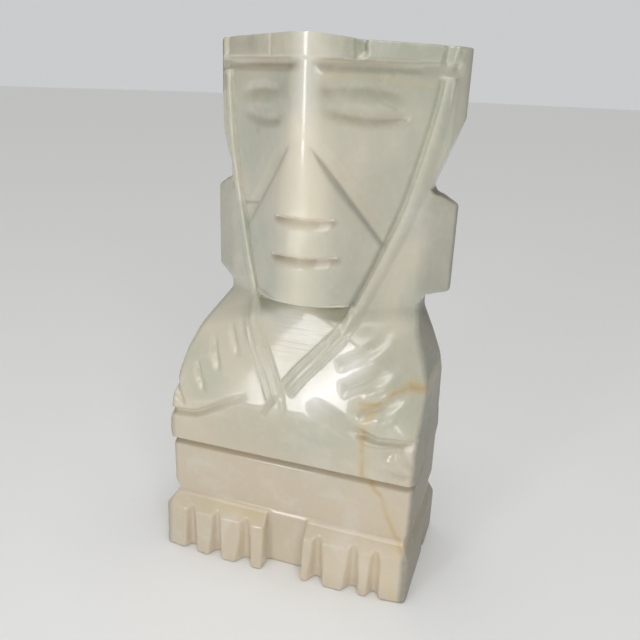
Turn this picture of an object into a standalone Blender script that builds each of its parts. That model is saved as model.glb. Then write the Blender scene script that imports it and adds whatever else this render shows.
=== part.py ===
"""Stone bookend carved from one block as a standing idol with a wedge-shaped face and crossed hands.

Metres, +Z up. The figure faces -Y, +X is to the viewer's right, and the origin is the middle of the
underside. "Depth" is a distance back from the top edge of the toes, "left" and "right" are the viewer's.
"""

import math

import bmesh
import bpy
from mathutils import Matrix, Vector

MM = 0.001
LEFT = -1
RIGHT = 1

# The block
BASE_WIDTH = 91.6 * MM
BODY_WIDTH = 88.2 * MM
DEPTH = 50.0 * MM

# Heights, one above the other from the underside to the crown
TOE_HEIGHT = 16.2 * MM
LEDGE_RISE = 4.4 * MM
SKIRT_RISE = 20.7 * MM
BELLY_RISE = 18.7 * MM
CHEST_RISE = 32.0 * MM
HEAD_RISE = 86.0 * MM

# Base and toes
TOE_FLARE = 2.0 * MM
FLARE_HALF = 27.0 * MM
FLARE_TURN = math.radians(6.0)
LEDGE_RUN = 4.1 * MM
LEDGE_SIDE_RUN = 2.8 * MM
TOE_CORNER = 1.6 * MM
TOE_CUT_DEPTH = 3.3 * MM
TOE_CUT_FLOOR = 0.35
TOE_CUT_TOP = 0.45
FEET_GAP_DEPTH = 4.8 * MM
SIDE_CUT_WIDTH = 4.6 * MM
SIDE_CUT_DEPTH = 2.6 * MM
SIDE_CUT_PLACE = 31.0 * MM
# Middle and width of each cut between two toes, and the left and right edges of the gap between the feet
TOE_CUTS = ((-35.2 * MM, 5.0 * MM), (-25.0 * MM, 4.6 * MM), (-13.6 * MM, 5.4 * MM),
            (13.7 * MM, 5.3 * MM), (26.7 * MM, 5.2 * MM), (34.5 * MM, 4.4 * MM))
FEET_GAP = (-6.4 * MM, 8.4 * MM)

# Torso
TORSO_FRONT = 4.7 * MM
SKIRT_SETBACK = 0.8 * MM
SKIRT_PINCH = 1.5 * MM
BELT_SWELL = {LEFT: 1.5 * MM, RIGHT: 0.9 * MM}
BELT_GROOVE_HEIGHT = 2.0 * MM
BELT_GROOVE_DEPTH = 1.9 * MM
CHEST_LEAN = math.radians(20.0)
ARM_ROUNDING = 3.0 * MM
# How far each front corner is rounded across and back
CORNERS = {LEFT: (1.6 * MM, 2.4 * MM), RIGHT: (3.6 * MM, 8.0 * MM)}
# Where each arm's outer face leaves the torso's front, and how far it turns to the side and leans back
ARM_FACES = {LEFT: (38.7 * MM, math.radians(19.0), math.radians(33.0)),
             RIGHT: (40.4 * MM, math.radians(48.8), math.radians(34.5))}
SHOULDER_PLACE = 24.5 * MM
SHOULDER_TURN = math.radians(39.7)
SHOULDER_LEAN = math.radians(59.4)
SLAB_GROOVE_DEPTH = 1.3 * MM
SLAB_GROOVE_WIDTH = 2.4 * MM
# How far back the line down each side runs at the belt, the waist and the neck, as shares of the depth
SIDE_LINE = (0.34, 0.5, 0.48)

# Head
HEAD_RIDGE_DEPTH = 9.7 * MM
EAR_EDGE = 3.9 * MM
RIDGE_ROUNDING = 2.2 * MM
NECK_INSET = 8.5 * MM
EAR_TOP = 48.9 * MM
EAR_FOOT = 6.6 * MM
EAR_UNDERCUT = {LEFT: 3.3 * MM, RIGHT: 0.8 * MM}
EAR_FILLET = 3.0 * MM
TEMPLE_TOP = 21.5 * MM
TEMPLE_TURN = math.radians(61.5)
TEMPLE_WIDTH = 3.7 * MM
BAND_HEIGHT = 5.2 * MM
BAND_GROOVE_HEIGHT = 3.8 * MM
BAND_GROOVE_DEPTH = 2.1 * MM
# How much higher than at its two corners the crown stands at places across it, from right to left
CROWN_SWELL = ((14.0 * MM, 0.5 * MM), (3.0 * MM, 1.8 * MM), (-14.0 * MM, 1.6 * MM), (-42.6 * MM, 1.1 * MM))
# Place across at the crown, width, depth and slant of each notch in the band
BAND_NOTCHES = ((-37.8 * MM, 2.8 * MM, 1.2 * MM, 0.0), (-14.3 * MM, 2.2 * MM, 0.9 * MM, 0.0),
                (14.4 * MM, 3.6 * MM, 3.4 * MM, 0.0), (38.2 * MM, 4.0 * MM, 2.4 * MM, math.radians(12.0)))

# Face
FACE_RECESS = 0.8 * MM
FACE_RIDGE_ROUNDING = 4.0 * MM
MUZZLE_RADIUS = 25.0 * MM
MUZZLE_FRONT = 12.3 * MM
# How the muzzle's rounding tightens from the cheek lines' feet up to the nose, as shares of that way and of
# the radius
MUZZLE_TAPER = ((0.0, 0.98), (0.45, 0.74), (0.77, 0.5), (1.0, 0.34))
NOSE_TOP = 30.8 * MM
NOSE_EDGES = (-5.0 * MM, 2.2 * MM)
CHEEK_FOOT = 61.8 * MM
CHIN_RISE = 4.6 * MM
CHIN_HALF = 15.0 * MM
CHEEK_BEVEL_WIDTH = 4.4 * MM
CHEEK_BEVEL_DEPTH = 1.3 * MM
CHEEK_BEVEL_SHARES = (0.3, 0.9, 1.0, 1.0, 1.0, 0.8, 0.5)
SLOT_DEPTH = 2.9 * MM
SLOT_HALF = 16.0 * MM
NOSE_SLOT = 52.5 * MM
MOUTH_SLOT = 65.6 * MM

# Front-view points are given as a share of the body's half width and a level: 0 at the waist, 1 at the
# neck and 2 at the crown

# Straps, from the band to below the crossing
STRAP_WIDTH = 4.4 * MM
STRAP_HEIGHT = 1.3 * MM
CHEST_STRAP_WIDTH = 6.6 * MM
STRAP_GROOVE_WIDTH = 2.0 * MM
STRAP_GROOVE_DEPTH = 1.7 * MM
# How many times its height a strap reaches into the stone
STRAP_ROOT = 3.5
STRAP_POINTS = {
    LEFT: ((-0.853, 1.898), (-0.83, 1.756), (-0.771, 1.523), (-0.689, 1.343), (-0.585, 1.134),
           (-0.499, 1.016), (-0.354, 0.762), (-0.263, 0.575), (-0.104, 0.2), (-0.027, -0.044)),
    RIGHT: ((0.88, 1.898), (0.848, 1.767), (0.794, 1.612), (0.717, 1.447), (0.576, 1.235),
            (0.435, 1.065), (0.34, 0.844), (0.195, 0.637), (0.0, 0.325), (-0.159, 0.031)),
}

# Finger cuts: the two ends of each, and its width
FINGER_CUT_DEPTH = 1.8 * MM
FINGER_CUTS = {
    LEFT: (((-0.626, 0.812), (-0.463, 0.5), 2.4 * MM), ((-0.766, 0.606), (-0.599, 0.3), 3.0 * MM),
           ((-0.871, 0.375), (-0.703, 0.087), 3.0 * MM), ((-1.039, 0.144), (-0.866, -0.144), 2.6 * MM)),
    RIGHT: (((0.689, 0.869), (0.308, 0.556), 3.2 * MM), ((0.789, 0.656), (0.363, 0.331), 4.4 * MM),
            ((0.889, 0.369), (0.508, 0.131), 4.0 * MM)),
}

# The groove under each forearm
ARM_GROOVE_WIDTH = 3.6 * MM
ARM_GROOVE_DEPTH = 2.2 * MM
ARM_GROOVES = {
    LEFT: ((-1.066, -0.2), (-0.952, -0.203), (-0.812, -0.2), (-0.689, -0.116),
           (-0.569, -0.025), (-0.49, 0.047), (-0.317, 0.138)),
    RIGHT: ((1.066, 0.019), (0.989, -0.022), (0.848, -0.037), (0.692, -0.081),
            (0.601, -0.066), (0.449, 0.0), (0.29, 0.075), (0.113, 0.144)),
}

# Hollows above and below each eyelid: the middle, half the length and half the height
EYE_DEPTH = 1.2 * MM
EYE_HOLLOWS = ((-0.444, 1.83, 11.0 * MM, 2.2 * MM), (-0.399, 1.723, 9.5 * MM, 2.0 * MM),
               (0.304, 1.842, 12.0 * MM, 2.2 * MM), (0.395, 1.747, 12.5 * MM, 2.0 * MM))

# Stone
STONE_COLOUR = (0.62, 0.60, 0.50, 1.0)
STONE_ROUGHNESS = 0.18

# Heights and half widths worked out from the sizes above
LEDGE_TOP = TOE_HEIGHT + LEDGE_RISE
BELT_LINE = LEDGE_TOP + SKIRT_RISE
WAIST = BELT_LINE + BELLY_RISE
NECK = WAIST + CHEST_RISE
CROWN = NECK + HEAD_RISE
BODY_HALF = BODY_WIDTH / 2
BASE_HALF = BASE_WIDTH / 2
CLEAR = 4.0 * MM
SMALL = 0.3 * MM


def depth(value):
    """The Y coordinate of a depth."""
    return value + TOE_FLARE - DEPTH / 2


def plane_normal(turn, lean):
    """The outward normal of a front face turned towards +X by turn and leaning back by lean."""
    return Vector((math.sin(turn) * math.cos(lean), -math.cos(turn) * math.cos(lean), math.sin(lean)))


def plane_depth(plane, x, z):
    """The Y coordinate of a plane, a point and a normal, where it passes x and z."""
    point, normal = plane
    return point.y - (normal.x * (x - point.x) + normal.z * (z - point.z)) / normal.y


BACK = DEPTH - TOE_FLARE
HEAD_TURN = math.atan((BACK - EAR_EDGE - HEAD_RIDGE_DEPTH) / BODY_HALF)
HEAD_PLANES = [(Vector((0, depth(HEAD_RIDGE_DEPTH), NECK)), plane_normal(side * HEAD_TURN, 0))
               for side in (LEFT, RIGHT)]
FACE_INSET = (STRAP_WIDTH + STRAP_GROOVE_WIDTH) / 2 * math.cos(HEAD_TURN)
SHOULDER_DEPTH = HEAD_RIDGE_DEPTH + SHOULDER_PLACE * math.tan(HEAD_TURN)
TORSO_PLANES = [(Vector((0, depth(TORSO_FRONT), WAIST)), plane_normal(0, 0)),
                (Vector((0, depth(TORSO_FRONT), WAIST)), plane_normal(0, CHEST_LEAN))]
for side, (place, turn, lean) in ARM_FACES.items():
    TORSO_PLANES.append((Vector((side * place, depth(TORSO_FRONT), WAIST)), plane_normal(side * turn, lean)))
    TORSO_PLANES.append((Vector((side * SHOULDER_PLACE, depth(SHOULDER_DEPTH), NECK)),
                         plane_normal(side * SHOULDER_TURN, SHOULDER_LEAN)))


def front_depth(x, z):
    """The Y coordinate of the front before its grooves, where the line of sight along +Y meets it."""
    torso = max(plane_depth(plane, x, z) for plane in TORSO_PLANES)
    head = max(plane_depth(plane, x, z) for plane in HEAD_PLANES)
    return min(torso, head) if z > NECK else torso


def front_point(across, level):
    """A front-view point, across and up, from its share of the half width and its level."""
    height = WAIST + level * CHEST_RISE if level < 1 else NECK + (level - 1) * HEAD_RISE
    return (across * BODY_HALF, height)


def front_normal(x, z, step=1.5 * MM):
    """The outward direction of the front at x and z, evened out over a small step."""
    across = (front_depth(x + step, z) - front_depth(x - step, z)) / (2 * step)
    up = (front_depth(x, z + step) - front_depth(x, z - step)) / (2 * step)
    return Vector((across, -1, up)).normalized()


def clear_scene():
    for obj in list(bpy.data.objects):
        bpy.data.objects.remove(obj, do_unlink=True)


def new_collection(name):
    collection = bpy.data.collections.new(name)
    bpy.context.scene.collection.children.link(collection)
    return collection


def tool(name, mesh):
    """An object that only shapes the stone: a cutter, or a lump joined to it."""
    obj = bpy.data.objects.new(name, mesh)
    obj.hide_render = True
    obj.display_type = "WIRE"
    TOOLS.objects.link(obj)
    return obj


def flat_solid(name, outline, thickness, placing):
    """A flat outline with a thickness, centred on its own plane and then placed by a matrix."""
    curve = bpy.data.curves.new(name + "_outline", "CURVE")
    curve.dimensions = "2D"
    curve.fill_mode = "BOTH"
    curve.extrude = thickness / 2
    spline = curve.splines.new("POLY")
    spline.points.add(len(outline) - 1)
    for point, (u, v) in zip(spline.points, outline):
        point.co = (u, v, 0, 1)
    spline.use_cyclic_u = True
    guide = bpy.data.objects.new(name + "_outline", curve)
    TOOLS.objects.link(guide)
    guide.matrix_world = placing
    bpy.context.view_layer.update()
    evaluated = guide.evaluated_get(bpy.context.evaluated_depsgraph_get())
    mesh = bpy.data.meshes.new_from_object(evaluated)
    work = bmesh.new()
    work.from_mesh(mesh)
    bmesh.ops.remove_doubles(work, verts=work.verts, dist=0.01 * MM)
    bmesh.ops.transform(work, matrix=placing, verts=work.verts)
    bmesh.ops.recalc_face_normals(work, faces=work.faces)
    bmesh.ops.dissolve_limit(work, angle_limit=math.radians(0.5), verts=work.verts, edges=work.edges)
    work.to_mesh(mesh)
    work.free()
    bpy.data.objects.remove(guide, do_unlink=True)
    bpy.data.curves.remove(curve)
    return tool(name, mesh)


def standing_solid(name, outline, front, back):
    """A front-view outline of (x, z) points, running back from one Y coordinate to another."""
    upright = Matrix.Translation((0, (front + back) / 2, 0)) @ Matrix.Rotation(math.pi / 2, 4, "X")
    return flat_solid(name, outline, back - front, upright)


def lying_solid(name, outline, bottom, top):
    """A plan of (x, y) points, rising from one height to another."""
    return flat_solid(name, outline, top - bottom, Matrix.Translation((0, 0, (bottom + top) / 2)))


def box(name, low, high):
    """A box between two corners."""
    low, high = Vector(low), Vector(high)
    work = bmesh.new()
    bmesh.ops.create_cube(work, size=1)
    place = Matrix.Translation((low + high) / 2) @ Matrix.Diagonal((*(high - low), 1))
    bmesh.ops.transform(work, matrix=place, verts=work.verts)
    return tool(name, finish(work, name))


def finish(work, name):
    """Writes a bmesh into a new mesh and frees it."""
    mesh = bpy.data.meshes.new(name)
    work.to_mesh(mesh)
    work.free()
    return mesh


def slice_off(work, point, normal):
    """Cuts off what lies beyond a plane and closes the cut."""
    everything = work.verts[:] + work.edges[:] + work.faces[:]
    found = bmesh.ops.bisect_plane(work, geom=everything, plane_co=point, plane_no=normal, clear_outer=True)
    rim = [part for part in found["geom_cut"] if isinstance(part, bmesh.types.BMEdge)]
    bmesh.ops.edgeloop_fill(work, edges=rim)
    bmesh.ops.recalc_face_normals(work, faces=work.faces)


def slice_object(obj, planes):
    """Slices an object's mesh by several planes."""
    work = bmesh.new()
    work.from_mesh(obj.data)
    for point, normal in planes:
        slice_off(work, point, normal)
    work.to_mesh(obj.data)
    work.free()


def round_edges(obj, chosen, width, segments):
    """Rounds the edges that a test picks."""
    work = bmesh.new()
    work.from_mesh(obj.data)
    edges = [edge for edge in work.edges if len(edge.link_faces) == 2 and chosen(edge)]
    bmesh.ops.bevel(work, geom=edges, offset=width, segments=segments, profile=0.5, affect="EDGES")
    work.to_mesh(obj.data)
    work.free()


def combine(obj, other, operation, solver="EXACT"):
    """Joins a tool to a lump, cuts it away, or keeps what both share."""
    change = obj.modifiers.new(other.name, "BOOLEAN")
    change.operation = operation
    change.object = other
    change.solver = solver


def carve(stone, other, operation="DIFFERENCE"):
    """The same for the stone itself, where the exact solver leaves slivers open between fine cuts."""
    combine(stone, other, operation, "MANIFOLD")


def loft(name, sections):
    """A closed solid through rings of points that all have as many points."""
    work = bmesh.new()
    rings = [[work.verts.new(point) for point in section] for section in sections]
    count = len(rings[0])
    for ring, following in zip(rings, rings[1:]):
        for k in range(count):
            work.faces.new((ring[k], ring[(k + 1) % count], following[(k + 1) % count], following[k]))
    work.faces.new(rings[0])
    work.faces.new(rings[-1])
    bmesh.ops.recalc_face_normals(work, faces=work.faces)
    return tool(name, finish(work, name))


def smooth_route(shares, steps=3):
    """Points of a smooth curve through front-view points that are given as shares and levels."""
    points = [front_point(*share) for share in shares]
    route = []
    ends = [points[0], *points, points[-1]]
    for before, start, end, after in zip(ends, ends[1:], ends[2:], ends[3:]):
        for k in range(steps):
            t = k / steps
            route.append([((2 * b) + (c - a) * t + (2 * a - 5 * b + 4 * c - d) * t ** 2
                           + (3 * b - a - 3 * c + d) * t ** 3) / 2
                          for a, b, c, d in zip(before, start, end, after)])
    route.append(list(points[-1]))
    return route


def straight_route(start, end, steps):
    """Points of a straight line between two front-view points."""
    return [[a + (b - a) * k / steps for a, b in zip(start, end)] for k in range(steps + 1)]


def on_front(route):
    """Places front-view points on the carved front."""
    placed = [Vector((x, front_depth(x, z), z)) for x, z in route]
    surface = [point.y for point in placed]
    for _ in range(5):
        depths = [point.y for point in placed]
        for k in range(1, len(placed) - 1):
            placed[k].y = min(surface[k], (depths[k - 1] + 2 * depths[k] + depths[k + 1]) / 4)
    return placed


def frames(path):
    """The outward and sideways directions at each point of a path on the front, evened out along it."""
    found = []
    last = len(path) - 1
    normals = [front_normal(point.x, point.z) for point in path]
    for k in range(len(path)):
        along = (path[min(k + 1, last)] - path[max(k - 1, 0)]).normalized()
        outward = normals[max(k - 1, 0)] + 2 * normals[k] + normals[min(k + 1, last)]
        outward = (outward - along * outward.dot(along)).normalized()
        found.append((outward, outward.cross(along)))
    return found


def groove(name, path, width, deepness, shift=0.0, rounded=False):
    """A cutter that follows a path on the front and runs out at both ends, V-shaped or with a round bottom."""
    sections = []
    last = len(path) - 1
    rise = 0.8 * deepness
    spread = width / 2 * (1 + rise / deepness)
    profile = [(spread, rise), (0.0, -deepness), (-spread, rise)]
    if rounded:
        profile = [(spread, rise), (width * 0.24, -deepness * 0.8), (0.0, -deepness),
                   (-width * 0.24, -deepness * 0.8), (-spread, rise)]
    for k, (point, (outward, sideways)) in enumerate(zip(path, frames(path))):
        fade = min(1.0, 2.5 * min(k, last - k) / last + 0.15)
        middle = point + sideways * shift
        sections.append([middle + sideways * across * fade + outward * (up if up > 0 else up * fade)
                         for across, up in profile])
    return loft(name, sections)


def strap(name, path, widths):
    """A low round-topped band that lies along a path on the front."""
    sections = []
    for point, (outward, sideways), width in zip(path, frames(path), widths):
        ring = []
        for share, height in ((0.5, -STRAP_ROOT), (0.5, 0.0), (0.34, 0.72), (0.0, 1.0), (-0.34, 0.72),
                              (-0.5, 0.0), (-0.5, -STRAP_ROOT)):
            ring.append(point + sideways * share * width + outward * height * STRAP_HEIGHT)
        sections.append(ring)
    return loft(name, sections)


def hollow(name, middle, along, outward, half_sizes):
    """A smooth shallow hollow: an ellipsoid set into the front along a direction, its middle a little outside."""
    length, width, deepness = half_sizes
    lift = deepness * 0.3
    along = (along - outward * along.dot(outward)).normalized()
    turned = Matrix((along, outward.cross(along), outward)).transposed().to_4x4()
    work = bmesh.new()
    bmesh.ops.create_uvsphere(work, u_segments=20, v_segments=10, radius=1)
    size = Matrix.Diagonal((length, width, deepness + lift, 1))
    place = Matrix.Translation(middle + outward * lift) @ turned @ size
    bmesh.ops.transform(work, matrix=place, verts=work.verts)
    return tool(name, finish(work, name))


def side_line(side):
    """The front view's edge on one side, from below the ledge up to the crown."""
    neck = BODY_HALF - NECK_INSET
    ear_top = CROWN - EAR_TOP
    ear_foot = NECK + EAR_FOOT
    temple = CROWN - TEMPLE_TOP
    points = [(BODY_HALF - SKIRT_PINCH, TOE_HEIGHT / 2),
              (BODY_HALF - SKIRT_PINCH, LEDGE_TOP + SMALL),
              (BODY_HALF + SMALL, LEDGE_TOP + SKIRT_RISE * 0.2),
              (BODY_HALF + SMALL, BELT_LINE),
              (BODY_HALF + BELT_SWELL[side], BELT_LINE + BELLY_RISE * 0.25),
              (BODY_HALF + SMALL, BELT_LINE + BELLY_RISE * 0.7),
              (BODY_HALF, WAIST + CHEST_RISE * 0.28),
              (BODY_HALF - NECK_INSET * 0.12, WAIST + CHEST_RISE * 0.45),
              (BODY_HALF - NECK_INSET * 0.45, WAIST + CHEST_RISE * 0.68),
              (neck, NECK + SMALL),
              (neck, ear_foot - EAR_UNDERCUT[side] - SMALL),
              (neck + 0.8 * MM, ear_foot - EAR_UNDERCUT[side]),
              (BODY_HALF, ear_foot),
              (BODY_HALF, ear_top - SMALL * 2),
              (BODY_HALF - SMALL * 2, ear_top)]
    for k in range(5):
        swing = math.radians(90 * k / 4)
        points.append((neck + EAR_FILLET * (1 - math.sin(swing)), ear_top + EAR_FILLET * (2 - math.cos(swing))))
    points.append((BODY_HALF - SMALL, temple))
    points.append((BODY_HALF, CROWN))
    return [(side * x, z) for x, z in points]


def make_block():
    """The body's outline, running on behind the back that is cut last."""
    crown = [(x, CROWN + swell) for x, swell in CROWN_SWELL]
    outline = side_line(RIGHT) + crown + side_line(LEFT)[::-1]
    return standing_solid("carved_figure", outline, depth(0), depth(BACK + CLEAR))


def is_front_ridge(edge):
    """Whether an edge lies between two front faces of the torso or head."""
    return all(face.normal.y < -0.2 for face in edge.link_faces) and edge.calc_face_angle(0) > math.radians(5)


def make_torso():
    """Skirt, belly, arms and chest, with the chest leaning back and the shoulders sloping to the neck."""
    front = box("torso", (-BODY_WIDTH, depth(0), 0),
                (BODY_WIDTH, depth(BACK + 3 * CLEAR), NECK + 2 * CHIN_RISE))
    slice_object(front, TORSO_PLANES)
    round_edges(front, is_front_ridge, ARM_ROUNDING, 3)
    for side in (LEFT, RIGHT):
        wide = BODY_HALF + BELT_SWELL[side] + SMALL
        run, reach = CORNERS[side]
        arc = [math.radians(90 * k / 5) for k in range(6)]
        plan = [(side * (wide - run * (1 - math.sin(turn))),
                 depth(TORSO_FRONT + reach * (1 - math.cos(turn)))) for turn in arc]
        plan += [(side * (wide + CLEAR), depth(TORSO_FRONT + reach + SMALL)),
                 (side * (wide + CLEAR), depth(TORSO_FRONT) - CLEAR),
                 (side * (wide - run - SMALL), depth(TORSO_FRONT) - CLEAR)]
        combine(front, lying_solid(f"torso_corner_{side + 2}", plan, -CLEAR, NECK), "DIFFERENCE")
    setback = box("skirt_setback", (-BODY_WIDTH - CLEAR, depth(0) - CLEAR, -CLEAR),
                  (BODY_WIDTH + CLEAR, depth(TORSO_FRONT + SKIRT_SETBACK), BELT_LINE))
    combine(front, setback, "DIFFERENCE")
    return front


def make_base():
    """The base with its sloping ledge, toes and side cuts."""
    base = box("base", (-BASE_HALF, depth(-TOE_FLARE), 0), (BASE_HALF, depth(BACK + 2 * CLEAR), LEDGE_TOP))
    front_slope = math.atan2(LEDGE_RUN, LEDGE_RISE)
    side_slope = math.atan2(LEDGE_SIDE_RUN, LEDGE_RISE)
    toe_lean = math.atan2(TOE_FLARE, TOE_HEIGHT)
    planes = [(Vector((0, depth(0), TOE_HEIGHT)), plane_normal(0, front_slope)),
              (Vector((0, depth(0), TOE_HEIGHT)), plane_normal(0, toe_lean))]
    for side in (LEFT, RIGHT):
        planes.append((Vector((side * FLARE_HALF, depth(-TOE_FLARE), 0)),
                       plane_normal(side * FLARE_TURN, toe_lean / 2)))
        planes.append((Vector((side * BASE_HALF, 0, TOE_HEIGHT)),
                       Vector((side * math.cos(side_slope), 0, math.sin(side_slope)))))
    slice_object(base, planes)
    round_edges(base, lambda edge: abs(edge.verts[0].co.z - edge.verts[1].co.z) > TOE_HEIGHT / 2
                and edge.verts[0].co.y < 0, TOE_CORNER, 2)
    for number, (place, width) in enumerate(TOE_CUTS, 1):
        sections = []
        for height, share in ((-CLEAR, 1 + (1 - TOE_CUT_TOP) * CLEAR / TOE_HEIGHT), (TOE_HEIGHT, TOE_CUT_TOP),
                              (LEDGE_TOP, TOE_CUT_TOP / 2)):
            surface = -TOE_FLARE * (1 - height / TOE_HEIGHT)
            bottom = surface + (TOE_CUT_DEPTH + TOE_FLARE * 0.5) * share
            half, floor = width / 2 * (share + 1) / 2, width / 2 * TOE_CUT_FLOOR * share
            sections.append([(place - half * 1.6, depth(surface - bottom * 0.6 - SMALL), height),
                             (place - floor, depth(bottom), height), (place + floor, depth(bottom), height),
                             (place + half * 1.6, depth(surface - bottom * 0.6 - SMALL), height)])
        combine(base, loft(f"toe_cut_{number}", sections), "DIFFERENCE")
    gap = box("feet_gap", (FEET_GAP[0], depth(-TOE_FLARE - CLEAR), -CLEAR),
              (FEET_GAP[1], depth(FEET_GAP_DEPTH), LEDGE_TOP + CLEAR))
    combine(base, gap, "DIFFERENCE")
    for side in (LEFT, RIGHT):
        middle = depth(SIDE_CUT_PLACE)
        outside = side * (BASE_HALF + SMALL)
        inside = side * (BASE_HALF - SIDE_CUT_DEPTH)
        half = SIDE_CUT_WIDTH / 2
        cutter = lying_solid(f"side_cut_{side + 2}", ((outside, middle - half), (inside, middle),
                                                      (outside, middle + half)), -CLEAR, LEDGE_TOP + CLEAR)
        combine(base, cutter, "DIFFERENCE")
    return base


def make_head():
    """Band, temples, ear blocks and the lappets beside the face, on two planes that meet in a ridge."""
    head = box("head", (-BODY_WIDTH - CLEAR, depth(0), NECK - CLEAR),
               (BODY_WIDTH + CLEAR, depth(BACK + 4 * CLEAR), CROWN + CLEAR))
    slice_object(head, HEAD_PLANES)
    round_edges(head, is_front_ridge, RIDGE_ROUNDING, 3)
    for side in (LEFT, RIGHT):
        inner = BODY_HALF - TEMPLE_WIDTH
        start = HEAD_RIDGE_DEPTH + inner * math.tan(HEAD_TURN)
        slant = math.tan(TEMPLE_TURN)
        near, far = inner - CLEAR / 4, inner + 2 * TEMPLE_WIDTH
        plan = [(side * near, depth(start + (near - inner) * slant)), (side * near, depth(-CLEAR)),
                (side * far, depth(-CLEAR)), (side * far, depth(start + (far - inner) * slant))]
        corner = lying_solid(f"temple_{side + 2}", plan, CROWN - EAR_TOP + EAR_FILLET, CROWN + CLEAR)
        combine(head, corner, "DIFFERENCE")
    under = box("under_chin", (-CHIN_HALF - CLEAR, depth(-CLEAR), NECK - 2 * CLEAR),
                (CHIN_HALF + CLEAR, depth(HEAD_RIDGE_DEPTH + CHIN_HALF), NECK + CHIN_RISE + SMALL))
    combine(head, under, "DIFFERENCE")
    combine(head, make_face_opening(), "DIFFERENCE")
    return head


def strap_place(side, height):
    """How far out a strap runs at a height."""
    points = [front_point(*share) for share in STRAP_POINTS[side]]
    for (x0, z0), (x1, z1) in zip(points, points[1:]):
        if z1 <= height <= z0:
            return x0 + (x1 - x0) * (height - z0) / (z1 - z0)
    return points[0][0]


def face_line(top, foot, inset):
    """The outline from one height down to another, an inset inside the middles of the straps."""
    steps = 7
    heights = [top + (foot - top) * k / steps for k in range(steps + 1)]
    right = [(strap_place(RIGHT, z) - inset, z) for z in heights]
    left = [(strap_place(LEFT, z) + inset, z) for z in heights]
    return right, left[::-1]


def make_face_opening():
    """What is cut away in front of forehead, eyes and cheeks, which lie a little behind the band."""
    right, left = face_line(CROWN - BAND_HEIGHT - BAND_GROOVE_HEIGHT / 2, NECK - 2 * CLEAR, FACE_INSET)
    opening = standing_solid("face_opening", right + left, depth(-CLEAR), depth(BACK - CLEAR))
    face = box("upper_face", (-BODY_WIDTH, depth(0), 0), (BODY_WIDTH, depth(BACK), CROWN + CLEAR))
    back = Vector((0, FACE_RECESS, 0))
    slice_object(face, [(point + back, normal) for point, normal in HEAD_PLANES])
    round_edges(face, is_front_ridge, FACE_RIDGE_ROUNDING, 4)
    combine(opening, face, "DIFFERENCE")
    return opening


def make_muzzle():
    """Nose, mouth and chin: a rounded front that stands out between the two cheek lines."""
    top = CROWN - NOSE_TOP
    foot = CROWN - CHEEK_FOOT
    chin = NECK + CHIN_RISE
    right, left = face_line(foot, chin, FACE_INSET + SMALL)
    muzzle = standing_solid("muzzle", [*right, *left, (NOSE_EDGES[0], top), (NOSE_EDGES[1], top)],
                            depth(0), depth(BACK - 2 * EAR_EDGE))
    sides = 36
    turns = [math.tau * (k + 0.5) / sides for k in range(sides)]
    levels = [(NECK - CLEAR, 1.0)]
    levels += [(foot + (top - foot) * rise, share) for rise, share in MUZZLE_TAPER]
    levels.append((CROWN, MUZZLE_TAPER[-1][1]))
    sections = []
    for height, share in levels:
        radius = MUZZLE_RADIUS * share
        axis = depth(MUZZLE_FRONT + radius)
        sections.append([(radius * math.sin(turn), axis - radius * math.cos(turn), height) for turn in turns])
    combine(muzzle, loft("muzzle_round", sections), "INTERSECT")
    return muzzle


def cut_band(stone):
    """The groove under the head band, and the notches across the band."""
    high = CROWN - BAND_HEIGHT
    low = high - BAND_GROOVE_HEIGHT
    slope = math.tan(HEAD_TURN)
    wide = BODY_HALF + CLEAR
    sections = []
    for x, share in ((-wide, 1.0), (-wide * 0.2, 1.0), (0.0, 0.6), (wide * 0.2, 1.0), (wide, 1.0)):
        surface = depth(HEAD_RIDGE_DEPTH + abs(x) * slope)
        cut = BAND_GROOVE_DEPTH * share
        sections.append([(x, surface + cut, high), (x, surface + cut * 0.6, low),
                         (x, surface - CLEAR, low - SMALL), (x, surface - CLEAR, high + SMALL)])
    carve(stone, loft("band_groove", sections))
    for number, (place, width, deepness, slant) in enumerate(BAND_NOTCHES, 1):
        work = bmesh.new()
        bmesh.ops.create_cone(work, cap_ends=True, segments=20, radius1=1, radius2=1, depth=2)
        turn = math.copysign(HEAD_TURN, place)
        placing = (Matrix.Translation((place, depth(HEAD_RIDGE_DEPTH + abs(place) * slope), CROWN))
                   @ Matrix.Rotation(turn, 4, "Z") @ Matrix.Rotation(slant, 4, "Y")
                   @ Matrix.Diagonal((width / 2, deepness, BAND_HEIGHT + SMALL, 1)))
        bmesh.ops.transform(work, matrix=placing, verts=work.verts)
        carve(stone, tool(f"band_notch_{number}", finish(work, "band_notch")))


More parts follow.
